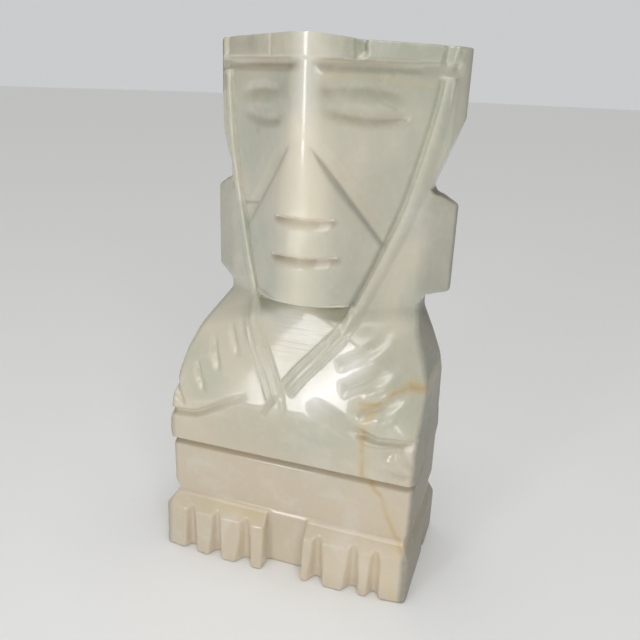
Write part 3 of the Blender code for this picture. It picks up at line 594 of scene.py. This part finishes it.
    def carve(self, stone: bpy.types.Object) -> None:
        """Cuts the strokes."""
        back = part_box(NODE)[1][1] / MM
        chisel = Chisel(self.read(stone))
        for stroke in self.strokes:
            chisel.pull(stroke, back)
        self.write(stone, chisel.points)

    def hold_inside(self, stone: bpy.types.Object) -> None:
        """Keeps the stone within the solid's box."""
        low, high = (np.array(corner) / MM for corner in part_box(NODE))
        self.write(stone, np.clip(self.read(stone), low + self.margin, high - self.margin))

    @staticmethod
    def read(stone: bpy.types.Object) -> np.ndarray:
        """The mesh's points in millimetres."""
        flat = np.empty(len(stone.data.vertices) * 3)
        stone.data.vertices.foreach_get("co", flat)
        return flat.reshape(-1, 3) / MM

    @staticmethod
    def write(stone: bpy.types.Object, points: np.ndarray) -> None:
        """Puts points in millimetres back into the mesh."""
        stone.data.vertices.foreach_set("co", (points * MM).ravel())
        stone.data.update()

    def thin(self, stone: bpy.types.Object) -> None:
        """Leaves out the faces that flat places don't need."""
        faces = sum(len(face.vertices) - 2 for face in stone.data.polygons)
        if faces > self.most_triangles:
            self.apply(stone, "DECIMATE", ratio=self.most_triangles / faces)
        bpy.ops.object.shade_smooth()

    @staticmethod
    def apply(stone: bpy.types.Object, kind: str, **settings: Any) -> None:
        """Adds a modifier and applies it.

        Args:
            stone: The object.
            kind: The modifier's type.
            **settings: Its settings.
        """
        change = stone.modifiers.new(kind.lower(), kind)
        for name, value in settings.items():
            setattr(change, name, value)
        bpy.ops.object.modifier_apply(modifier=change.name)


class Value:
    """A shader value that takes part in Python expressions."""

    def __init__(self, tree: bpy.types.NodeTree, socket: bpy.types.NodeSocket) -> None:
        """Keeps the socket that the value comes from."""
        self.tree = tree
        self.socket = socket

    def _with(self, operation: str, *terms: Any) -> "Value":
        """A Math node over some terms."""
        node = self.tree.nodes.new("ShaderNodeMath")
        node.operation = operation
        for slot, term in zip(node.inputs, terms):
            if isinstance(term, Value):
                self.tree.links.new(term.socket, slot)
            else:
                slot.default_value = term
        return Value(self.tree, node.outputs[0])

    def __add__(self, other: Any) -> "Value":
        """Sum."""
        return self._with("ADD", self, other)

    __radd__ = __add__

    def __sub__(self, other: Any) -> "Value":
        """Difference."""
        return self._with("SUBTRACT", self, other)

    def __rsub__(self, other: Any) -> "Value":
        """Difference from a number."""
        return self._with("SUBTRACT", other, self)

    def __mul__(self, other: Any) -> "Value":
        """Product."""
        return self._with("MULTIPLY", self, other)

    __rmul__ = __mul__

    def __truediv__(self, other: Any) -> "Value":
        """Quotient."""
        return self._with("DIVIDE", self, other)

    def __pow__(self, other: Any) -> "Value":
        """Power."""
        return self._with("POWER", self, other)

    def least(self, other: Any) -> "Value":
        """The smaller of two values."""
        return self._with("MINIMUM", self, other)

    def most(self, other: Any) -> "Value":
        """The larger of two values."""
        return self._with("MAXIMUM", self, other)


class Recipe:
    """A material's nodes."""

    def __init__(self, name: str) -> None:
        """Starts a material that holds only its shader and output."""
        self.material = bpy.data.materials.new(name)
        self.material.use_nodes = True
        self.tree = self.material.node_tree
        self.shader = self.tree.nodes["Principled BSDF"]

    def node(self, kind: str, settings: dict[str, Any] | None = None, output: int | str = 0,
             **inputs: Any) -> Value:
        """Adds one node.

        Args:
            kind: The node's type, without its ShaderNode prefix.
            settings: Properties, and a ramp's stops as (place, colour) pairs.
            output: The output to hand on.
            **inputs: Values or links by socket name, with an underscore for a space.

        Returns:
            The chosen output.
        """
        made = self.tree.nodes.new("ShaderNode" + kind)
        for name, value in (settings or {}).items():
            if name == "stops":
                stops = made.color_ramp.elements
                while len(stops) < len(value):
                    stops.new(0.5)
                for stop, (place, colour) in zip(stops, value):
                    stop.position = place
                    stop.color = (*colour, 1.0)
            else:
                setattr(made, name, value)
        for name, value in inputs.items():
            self.set(made.inputs[name.replace("_", " ")], value)
        return Value(self.tree, made.outputs[output])

    def set(self, socket: bpy.types.NodeSocket, value: Any) -> None:
        """Links a value to a socket, or sets it there."""
        if isinstance(value, Value):
            self.tree.links.new(value.socket, socket)
        else:
            socket.default_value = value

    def mix(self, share: Any, first: Any, second: Any) -> Value:
        """Mixes two colours by a share from 0 to 1."""
        made = self.tree.nodes.new("ShaderNodeMix")
        made.data_type = "RGBA"
        made.clamp_factor = True
        for slot, value in ((made.inputs[0], share), (made.inputs[6], first), (made.inputs[7], second)):
            self.set(slot, (*value, 1.0) if isinstance(value, tuple) and len(value) == 3 else value)
        return Value(self.tree, made.outputs[2])


@dataclass(frozen=True)
class VeinOrPaintedLight:
    """A line of colour: a vein in the stone, or a painted highlight or painted shade on its front. Rust and
    honey ones run back through it, the others lie near the front.

    Attributes:
        path: Its front-view line in millimetres.
        width: How wide its colour reaches.
        strength: How much of its colour shows, from 0 to 1.
        colour: Its colour.
        wander: How far it strays from its line, as a share of the stone's own drift.
    """

    path: Sequence[Point]
    width: float
    strength: float
    colour: Colour
    wander: float = 1.0


RUST: Colour = (0.52, 0.30, 0.10)
HONEY: Colour = (0.74, 0.60, 0.30)
# Umber: one real brown streak, and painted shade in grooves, slots and hollows.
UMBER_AND_SHADE: Colour = (0.36, 0.27, 0.17)
# A white for painted highlights.
PAINTED_HIGHLIGHT_WHITE: Colour = (0.92, 0.90, 0.84)
# Ivory: a paler patch on the right toe, and painted highlight on the nose and chin.
IVORY_AND_HIGHLIGHT: Colour = (0.93, 0.85, 0.68)
# A green grey for painted shade.
PAINTED_SHADE_GREEN: Colour = (0.38, 0.38, 0.31)
VEINS_AND_PAINTED_LIGHT = (
    VeinOrPaintedLight(((-24.0, 60.0), (-36.0, 38.0)), 2.5, 0.10, HONEY),
    VeinOrPaintedLight(((24.0, 67.0), (29.7, 68.6), (35.5, 72.8), (38.6, 73.4), (43.8, 70.9)), 3.0, 0.55, HONEY),
    VeinOrPaintedLight(((24.6, 68.6), (29.0, 68.4), (34.3, 72.4), (38.4, 73.1), (43.8, 70.6)), 1.5, 0.50, RUST),
    VeinOrPaintedLight(((28.4, 66.0), (26.2, 60.2), (26.4, 53.0), (27.0, 43.7), (33.4, 37.0), (35.9, 29.8), (39.6, 22.8),
          (42.5, 19.6)), 3.2, 0.50, HONEY),
    VeinOrPaintedLight(((26.2, 60.2), (26.4, 53.0), (27.0, 43.7), (33.4, 37.0), (35.9, 29.8), (39.6, 22.8), (42.5, 19.6)),
         1.4, 0.34, RUST),
    VeinOrPaintedLight(((34.8, 16.0), (35.6, 13.0), (38.9, 8.4), (42.5, 1.0)), 2.6, 0.50, HONEY),
    VeinOrPaintedLight(((-31.0, 18.6), (-20.7, 19.4), (-8.7, 18.7)), 3.0, 0.35, HONEY),
    VeinOrPaintedLight(((-27.5, 124.4), (-33.0, 122.4), (-38.8, 121.6)), 2.4, 0.30, UMBER_AND_SHADE),
    # Painted shade in the groove under the band.
    VeinOrPaintedLight(((-44.0, 171.0), (-20.0, 171.2), (-3.0, 170.8)), 2.6, 0.55, UMBER_AND_SHADE, 0.5),
    VeinOrPaintedLight(((4.0, 171.4), (20.0, 171.4), (44.0, 170.8)), 2.4, 0.50, UMBER_AND_SHADE, 0.5),
    VeinOrPaintedLight(((6.0, 168.6), (20.0, 167.4), (33.0, 165.6)), 2.2, 0.28, HONEY),
    # Painted shade in the two slots, then painted highlights along their upper edges.
    VeinOrPaintedLight(((-9.0, 124.4), (9.4, 124.5)), 2.0, 0.75, UMBER_AND_SHADE, 0.2),
    VeinOrPaintedLight(((-10.6, 111.4), (10.8, 112.2)), 2.0, 0.70, UMBER_AND_SHADE, 0.2),
    VeinOrPaintedLight(((-9.4, 125.4), (9.8, 125.5)), 0.5, 0.75, PAINTED_HIGHLIGHT_WHITE, 0.1),
    VeinOrPaintedLight(((-11.0, 112.4), (11.0, 113.3)), 0.5, 0.75, PAINTED_HIGHLIGHT_WHITE, 0.1),
    # Painted shade in the belt line under the belly's edge.
    VeinOrPaintedLight(((-46.0, 41.2), (46.0, 41.2)), 1.3, 0.60, UMBER_AND_SHADE, 0.1),
    # Painted shade in the hollows above and below each lid.
    VeinOrPaintedLight(((6.0, 163.8), (18.0, 164.0), (24.0, 162.6)), 4.4, 0.36, UMBER_AND_SHADE),
    VeinOrPaintedLight(((8.0, 157.6), (18.0, 155.6), (27.0, 156.6)), 3.6, 0.36, UMBER_AND_SHADE),
    VeinOrPaintedLight(((-26.0, 162.0), (-18.0, 163.0), (-9.0, 162.4)), 4.0, 0.30, UMBER_AND_SHADE),
    VeinOrPaintedLight(((-27.0, 156.0), (-18.0, 154.4), (-9.0, 155.0)), 3.6, 0.30, UMBER_AND_SHADE),
    VeinOrPaintedLight(((-20.4, 151.2), (-20.8, 149.4)), 2.0, 0.34, RUST),
    VeinOrPaintedLight(((4.2, 141.0), (3.8, 128.0)), 3.4, 0.26, HONEY),
    # Painted shade on the left end of the band and on the left ear.
    VeinOrPaintedLight(((-44.0, 177.0), (-24.0, 177.0)), 5.0, 0.55, PAINTED_SHADE_GREEN, 0.4),
    VeinOrPaintedLight(((-40.0, 128.0), (-40.0, 104.0)), 7.0, 0.52, PAINTED_SHADE_GREEN, 0.4),
    # A paler ivory patch on the right toe.
    VeinOrPaintedLight(((24.0, 12.0), (40.0, 9.0)), 10.0, 0.30, IVORY_AND_HIGHLIGHT, 0.4),
    # Painted shade on the right cheek and chin.
    VeinOrPaintedLight(((22.0, 140.0), (15.0, 106.0)), 9.0, 0.24, PAINTED_SHADE_GREEN, 0.4),
    # Painted shade along the grooves beside the straps and along the cheek lines.
    VeinOrPaintedLight(((36.2, 168.0), (33.4, 152.2), (31.2, 142.0), (27.7, 128.1), (23.2, 115.3), (15.6, 96.6)),
         1.8, 0.60, PAINTED_SHADE_GREEN, 0.2),
    VeinOrPaintedLight(((-35.0, 165.0), (-33.6, 146.0), (-27.4, 119.0), (-19.9, 95.2)), 1.5, 0.40, PAINTED_SHADE_GREEN, 0.2),
    VeinOrPaintedLight(((2.4, 147.0), (12.3, 132.1), (17.7, 124.2), (23.4, 115.6)), 1.3, 0.55, PAINTED_SHADE_GREEN, 0.2),
    VeinOrPaintedLight(((-6.0, 146.0), (-11.5, 137.9), (-19.3, 127.3), (-27.2, 117.0)), 1.5, 0.40, PAINTED_SHADE_GREEN, 0.2),
    # Painted highlight along the right strap and lappet.
    VeinOrPaintedLight(((40.6, 166.0), (38.4, 150.0)), 4.0, 0.40, PAINTED_HIGHLIGHT_WHITE, 0.4),
    # Painted highlight down the ridge of the band and forehead.
    VeinOrPaintedLight(((0.0, 181.0), (0.0, 150.0)), 5.0, 0.45, PAINTED_HIGHLIGHT_WHITE, 0.4),
    # Painted highlight down the nose, mouth and chin.
    VeinOrPaintedLight(((0.0, 150.0), (0.6, 128.0)), 10.0, 0.75, IVORY_AND_HIGHLIGHT, 0.4),
    VeinOrPaintedLight(((-0.6, 122.0), (-0.6, 100.0)), 9.0, 0.45, IVORY_AND_HIGHLIGHT, 0.4),
    # Painted highlights on the chest under the chin and right of the right strap.
    VeinOrPaintedLight(((-8.0, 92.0), (3.0, 88.0)), 9.0, 0.50, PAINTED_HIGHLIGHT_WHITE, 0.4),
    VeinOrPaintedLight(((8.0, 67.0), (15.0, 72.0), (20.0, 79.0)), 8.0, 0.95, PAINTED_HIGHLIGHT_WHITE, 0.4),
    # Painted highlights along the straps' flutes on the chest.
    VeinOrPaintedLight(((11.0, 84.6), (2.0, 73.2)), 0.6, 0.75, PAINTED_HIGHLIGHT_WHITE, 0.1),
    VeinOrPaintedLight(((14.4, 81.8), (5.0, 71.2)), 0.6, 0.75, PAINTED_HIGHLIGHT_WHITE, 0.1),
    VeinOrPaintedLight(((-19.3, 85.2), (-15.6, 77.0), (-10.8, 68.0)), 0.6, 0.75, PAINTED_HIGHLIGHT_WHITE, 0.1),
    VeinOrPaintedLight(((-14.4, 80.4), (-7.4, 66.4)), 0.6, 0.75, PAINTED_HIGHLIGHT_WHITE, 0.1),
    VeinOrPaintedLight(((9.0, 143.0), (17.0, 131.0), (23.0, 121.0)), 3.0, 0.16, RUST),
    VeinOrPaintedLight(((-9.0, 143.0), (-15.0, 134.0), (-24.0, 121.0)), 3.4, 0.20, UMBER_AND_SHADE),
)


@dataclass(frozen=True)
class Pattern:
    """The values that the stone's look is mixed from.

    Attributes:
        place: The place in the stone, in metres.
        x: How far across, in millimetres.
        y: How deep, in metres.
        z: How high, in millimetres.
        wide: How far from the middle, in millimetres.
        cloud: Noise for the clouds.
        drift: Noise for the widest changes.
        wisp: Noise for the wisps.
        front: 1 near the front, 0 in the depth.
    """

    place: Value
    x: Value
    y: Value
    z: Value
    wide: Value
    cloud: Value
    drift: Value
    wisp: Value
    front: Value


@dataclass(frozen=True)
class Onyx:
    """Pale clouded onyx, polished, with a few rusty veins, and painted highlights and painted shade on its
    front and sides.

    Attributes:
        cream: The warmer clouds.
        green: The cooler clouds.
        pink_with_painted_light: The pinker stone near the foot, made lighter there as painted light on the
            lower part.
        white: The wisps and the finest grain.
        dull_and_shaded: The colour of the side walls and back: less polished, and darkened as painted shade.
        roughness: The roughness of the stone under its polish.
        coat: How much of the polish shows.
        coat_roughness: The roughness of the polish.
        glow: How much light goes into the stone.
        glow_colours: How far red, green and blue go into it, as shares.
        glow_reach: How far the furthest goes, in metres.
    """

    cream: Colour = (0.72, 0.67, 0.54)
    green: Colour = (0.56, 0.57, 0.46)
    pink_with_painted_light: Colour = (0.76, 0.63, 0.47)
    white: Colour = (0.82, 0.79, 0.70)
    dull_and_shaded: Colour = (0.25, 0.25, 0.215)
    roughness: float = 0.36
    coat: float = 0.75
    coat_roughness: float = 0.10
    glow: float = 0.18
    glow_colours: Colour = (1.0, 0.85, 0.6)
    glow_reach: float = 0.004

    def build(self) -> bpy.types.Material:
        """Makes the material."""
        recipe = Recipe("pale_onyx")
        at = self.pattern(recipe)
        dull_and_shaded = self.dullness_and_shade(recipe, at)
        chest = self.ramp(recipe, at.wide, 17.0, 9.0) * self.ramp(recipe, at.z, 70.0, 80.0)
        chest = chest * self.ramp(recipe, at.z, 95.0, 92.0) * at.front
        tint = self.with_veins_and_painted_light(recipe, at, self.clouds(recipe, at))
        shader = recipe.shader.inputs
        recipe.set(shader["Base Color"], self.with_painted_shade_and_grain(recipe, at, tint, dull_and_shaded))
        recipe.set(shader["Roughness"], (at.cloud - 0.5) * 0.25 + self.roughness + dull_and_shaded * 0.4 - chest * 0.08)
        recipe.set(shader["Coat Weight"], (1.0 - dull_and_shaded * 1.3 - chest * 0.5) * self.coat)
        recipe.set(shader["Coat Roughness"], self.coat_roughness)
        recipe.set(shader["Subsurface Weight"], self.glow)
        recipe.set(shader["Subsurface Radius"], self.glow_colours)
        recipe.set(shader["Subsurface Scale"], self.glow_reach)
        recipe.set(shader["Normal"], self.relief(recipe, at, chest))
        return recipe.material

    def pattern(self, recipe: Recipe) -> Pattern:
        """Places and noises."""
        place = recipe.node("TexCoord", output="Object")
        parts = {axis: recipe.node("SeparateXYZ", output=axis, Vector=place) for axis in "XYZ"}
        x = parts["X"] / MM
        return Pattern(
            place, x, parts["Y"], parts["Z"] / MM, (x * x) ** 0.5,
            cloud=self.noise(recipe, place, 26.0, 4.0, distortion=0.6),
            drift=self.noise(recipe, place, 11.0, 3.0, distortion=1.0),
            wisp=self.noise(recipe, place, 70.0, 5.0, 0.62, 0.8),
            front=self.ramp(recipe, parts["Y"], 0.014, 0.004))

    def clouds(self, recipe: Recipe, at: Pattern) -> Value:
        """Green and cream clouds, pinker near the foot and lighter there as painted light, with white wisps.
        """
        tint = recipe.mix(self.ramp(recipe, at.cloud, 0.36, 0.62), self.green, self.cream)
        # Towards the foot: the stone's pinker tone, lightened as painted light.
        low = self.ramp(recipe, at.z + (at.drift - 0.5) * 60.0, 62.0, 30.0)
        tint = recipe.mix(low * 0.75, tint, self.pink_with_painted_light)
        return recipe.mix(self.ramp(recipe, at.wisp + at.drift - 0.5, 0.50, 0.78) * 0.55, tint, self.white)

    def with_veins_and_painted_light(self, recipe: Recipe, at: Pattern, tint: Value) -> Value:
        """Lays the veins, the painted highlights and the painted shade over a colour, one by one."""
        stray_x, stray_z = (at.wisp - 0.5) * 3.2, (at.cloud - 0.5) * 4.0
        patchy = self.ramp(recipe, at.wisp, 0.30, 0.52)
        for colour_line in VEINS_AND_PAINTED_LIGHT:
            away = self.trail(at.x + stray_x * colour_line.wander, at.z + stray_z * colour_line.wander, colour_line.path)
            share = (1.0 - away / colour_line.width).most(0.0) * colour_line.strength
            if colour_line.colour not in (RUST, HONEY):
                share = share * at.front
            tint = recipe.mix(share * patchy if colour_line.wander > 0.5 else share, tint, colour_line.colour)
        return tint

    def dullness_and_shade(self, recipe: Recipe, at: Pattern) -> Value:
        """How little the side walls and the back are polished, and how far painted shade darkens them, most
        on the right, where the side lies in shade.
        """
        wall = recipe.node("MapRange", Value=at.z, From_Min=71.0, From_Max=92.5, To_Min=43.2, To_Max=34.3)
        wall = wall + self.ramp(recipe, at.z, 95.0, 98.0) * 8.8
        outside = self.ramp(recipe, at.wide + (at.cloud - 0.5) * 1.6 - wall, -0.6, 1.0)
        # The right side gets more: painted shade for the side wall that lies in shade.
        right = self.ramp(recipe, at.x, -5.0, 5.0)
        back = self.ramp(recipe, at.y, 0.0215, 0.0245)
        return (outside * (0.42 + right * 0.26)).most(back * 0.36)

    def with_painted_shade_and_grain(self, recipe: Recipe, at: Pattern, tint: Value, dull_and_shaded: Value) -> Value:
        """Darkens a colour with painted shade on the side walls, the back and the ears beside the jaw, and
        gives it the finest grain.
        """
        shaded_ears = self.ramp(recipe, at.wide + (at.drift - 0.5) * 4.0, 33.0, 37.0)
        shaded_ears = shaded_ears * self.ramp(recipe, at.z, 96.0, 100.0) * self.ramp(recipe, at.z, 136.0, 130.0)
        # Painted shade: the side walls, the back and the ears beside the jaw are mixed towards the dark grey.
        tint = recipe.mix((shaded_ears * 0.32).most(dull_and_shaded), tint, self.dull_and_shaded)
        grain = self.noise(recipe, at.place, 420.0, 2.0)
        return recipe.mix((grain - 0.5).most(0.0) * 0.5, tint, self.white)

    def relief(self, recipe: Recipe, at: Pattern, chest: Value) -> Value:
        """Fine ripples, and level scores on the chest."""
        ripple = self.noise(recipe, at.place, 160.0, 3.0)
        level = recipe.node("Mapping", Vector=at.place, Scale=(0.06, 0.06, 1.0))
        scores = self.noise(recipe, level, 700.0, 2.0)
        return recipe.node("Bump", Height=ripple * 0.3 + scores * chest * 2.5, Strength=0.7, Distance=0.0002)

    @staticmethod
    def noise(recipe: Recipe, place: Value, scale: float, detail: float, roughness: float = 0.5,
              distortion: float = 0.0) -> Value:
        """Noise from 0 to 1, finer with a larger scale."""
        return recipe.node("TexNoise", Vector=place, Scale=scale, Detail=detail, Roughness=roughness,
                           Distortion=distortion)

    @staticmethod
    def ramp(recipe: Recipe, value: Value, start: float, end: float) -> Value:
        """A share that goes from 0 to 1 between two values."""
        return recipe.node("MapRange", Value=value, From_Min=start, From_Max=end)

    @staticmethod
    def trail(x: Value, z: Value, path: Sequence[Point]) -> Value:
        """The distance from a front-view line.

        Args:
            x: The place across.
            z: The place up.
            path: The line's points.

        Returns:
            The distance to the nearest of its runs.
        """
        nearest: Value | None = None
        for (start_x, start_z), (end_x, end_z) in zip(path, path[1:]):
            run_x, run_z = end_x - start_x, end_z - start_z
            from_x, from_z = x - start_x, z - start_z
            share = ((from_x * run_x + from_z * run_z) / (run_x ** 2 + run_z ** 2)).most(0.0).least(1.0)
            off_x, off_z = from_x - share * run_x, from_z - share * run_z
            away = (off_x * off_x + off_z * off_z) ** 0.5
            nearest = away if nearest is None else nearest.least(away)
        return nearest


@dataclass(frozen=True)
class SoftBox:
    """A rectangular lamp.

    Attributes:
        name: Its name.
        place: Where it stands.
        size: Its width and height.
        power: Its power in watts.
        aim: The point that it faces.
    """

    name: str
    place: tuple[float, float, float]
    size: tuple[float, float]
    power: float
    aim: tuple[float, float, float]


@dataclass
class Studio:
    """Floor, lights, surroundings and camera.

    Attributes:
        lens: The camera's focal length in millimetres.
        sensor: The width of its sensor.
        camera_place: Where it stands.
        camera_right: The way to the right of its picture.
        camera_down: The way down its picture.
        camera_forward: The way that it looks.
        room_light: The strength of the surroundings on their bright side.
        dim_share: The share of it on their dim side.
        backdrop: How bright the surroundings look behind the object.
        ceiling_light: The strength of the light from above.
        lamps: The soft boxes.
    """

    lens: float = 38.30
    sensor: float = 36.0
    camera_place: tuple[float, float, float] = (0.072914, -0.209178, 0.167897)
    camera_right: tuple[float, float, float] = (0.9453413, 0.32407487, 0.03612908)
    camera_down: tuple[float, float, float] = (0.1416579, -0.30835373, -0.9406652)
    camera_forward: tuple[float, float, float] = (-0.29370542, 0.89436763, -0.33740728)
    room_light: float = 0.06
    dim_share: float = 0.25
    backdrop: float = 0.62
    ceiling_light: float = 1.9
    lamps: tuple[SoftBox, ...] = (
        SoftBox("key_light", (-0.205, -0.60, 0.215), (0.10, 0.22), 0.66, (0.0, 0.0, 0.12)),
        SoftBox("fill_light", (0.42, -0.72, 0.48), (0.45, 0.45), 1.9, (0.0, 0.0, 0.09)),
        SoftBox("low_light", (-0.30, -0.54, 0.01), (0.40, 0.55), 1.3, (-0.34, -0.52, 1.0)),
        SoftBox("side_light", (0.50, -0.56, 0.42), (0.08, 0.18), 0.18, (0.0, 0.0, 0.08)))

    def build(self) -> None:
        """Sets the stage."""
        self.lay_floor()
        self.surround()
        for box in self.lamps:
            self.lamp(box)
        self.ceiling()
        self.place_camera()

    def lay_floor(self) -> None:
        """A plain pale floor."""
        bpy.ops.mesh.primitive_circle_add(vertices=96, radius=6.0, fill_type="NGON", location=(0, 0, 0))
        floor = bpy.context.active_object
        floor.name = "floor"
        recipe = Recipe("pale_floor")
        recipe.set(recipe.shader.inputs["Base Color"], (0.86, 0.86, 0.85, 1.0))
        recipe.set(recipe.shader.inputs["Roughness"], 0.9)
        floor.data.materials.append(recipe.material)

    def ceiling(self) -> None:
        """Soft even light from straight above."""
        bpy.ops.object.light_add(type="SUN", location=(0.0, 0.0, 1.5))
        lamp = bpy.context.active_object
        lamp.name = "ceiling_light"
        lamp.data.energy = self.ceiling_light
        lamp.data.angle = math.radians(50.0)

    def surround(self) -> None:
        """Pale surroundings that give less light from the right, where the room is dim."""
        world = bpy.data.worlds.new("pale_surroundings")
        world.use_nodes = True
        tree = world.node_tree
        back = tree.nodes["Background"]
        back.inputs["Color"].default_value = (0.96, 0.97, 0.98, 1.0)
        place = tree.nodes.new("ShaderNodeTexCoord")
        parts = tree.nodes.new("ShaderNodeSeparateXYZ")
        side = tree.nodes.new("ShaderNodeMapRange")
        seen = tree.nodes.new("ShaderNodeLightPath")
        blend = tree.nodes.new("ShaderNodeMix")
        for socket, value in (("From Min", -0.4), ("From Max", 0.6), ("To Min", self.room_light),
                              ("To Max", self.room_light * self.dim_share)):
            side.inputs[socket].default_value = value
        blend.inputs[3].default_value = self.backdrop
        for source, target in ((place.outputs["Generated"], parts.inputs[0]),
                               (parts.outputs["X"], side.inputs[0]),
                               (seen.outputs["Is Camera Ray"], blend.inputs[0]),
                               (side.outputs[0], blend.inputs[2]),
                               (blend.outputs[0], back.inputs["Strength"])):
            tree.links.new(source, target)
        bpy.context.scene.world = world

    @staticmethod
    def lamp(box: SoftBox) -> None:
        """Hangs one soft box, out of the camera's sight."""
        bpy.ops.object.light_add(type="AREA", location=box.place)
        lamp = bpy.context.active_object
        lamp.name = box.name
        lamp.data.shape = "RECTANGLE"
        lamp.data.size, lamp.data.size_y = box.size
        lamp.data.energy = box.power
        lamp.rotation_euler = (Vector(box.aim) - Vector(box.place)).to_track_quat("-Z", "Y").to_euler()
        lamp.visible_camera = False

    def place_camera(self) -> None:
        """The camera at the photograph's angle."""
        bpy.ops.object.camera_add()
        camera = bpy.context.active_object
        camera.data.lens = self.lens
        camera.data.sensor_width = self.sensor
        camera.data.clip_start = 0.01
        right, down, forward = (Vector(axis) for axis in (self.camera_right, self.camera_down,
                                                          self.camera_forward))
        turned = Matrix((right, -down, -forward)).transposed().to_4x4()
        camera.matrix_world = Matrix.Translation(self.camera_place) @ turned
        bpy.context.scene.camera = camera


def main() -> None:
    """Builds the stone and its stage."""
    logging.basicConfig(level=logging.INFO, format="%(message)s")
    CarvedFigure().build()
    Studio().build()
    bpy.context.scene.view_settings.view_transform = "Standard"


if __name__ == "__main__":
    main()
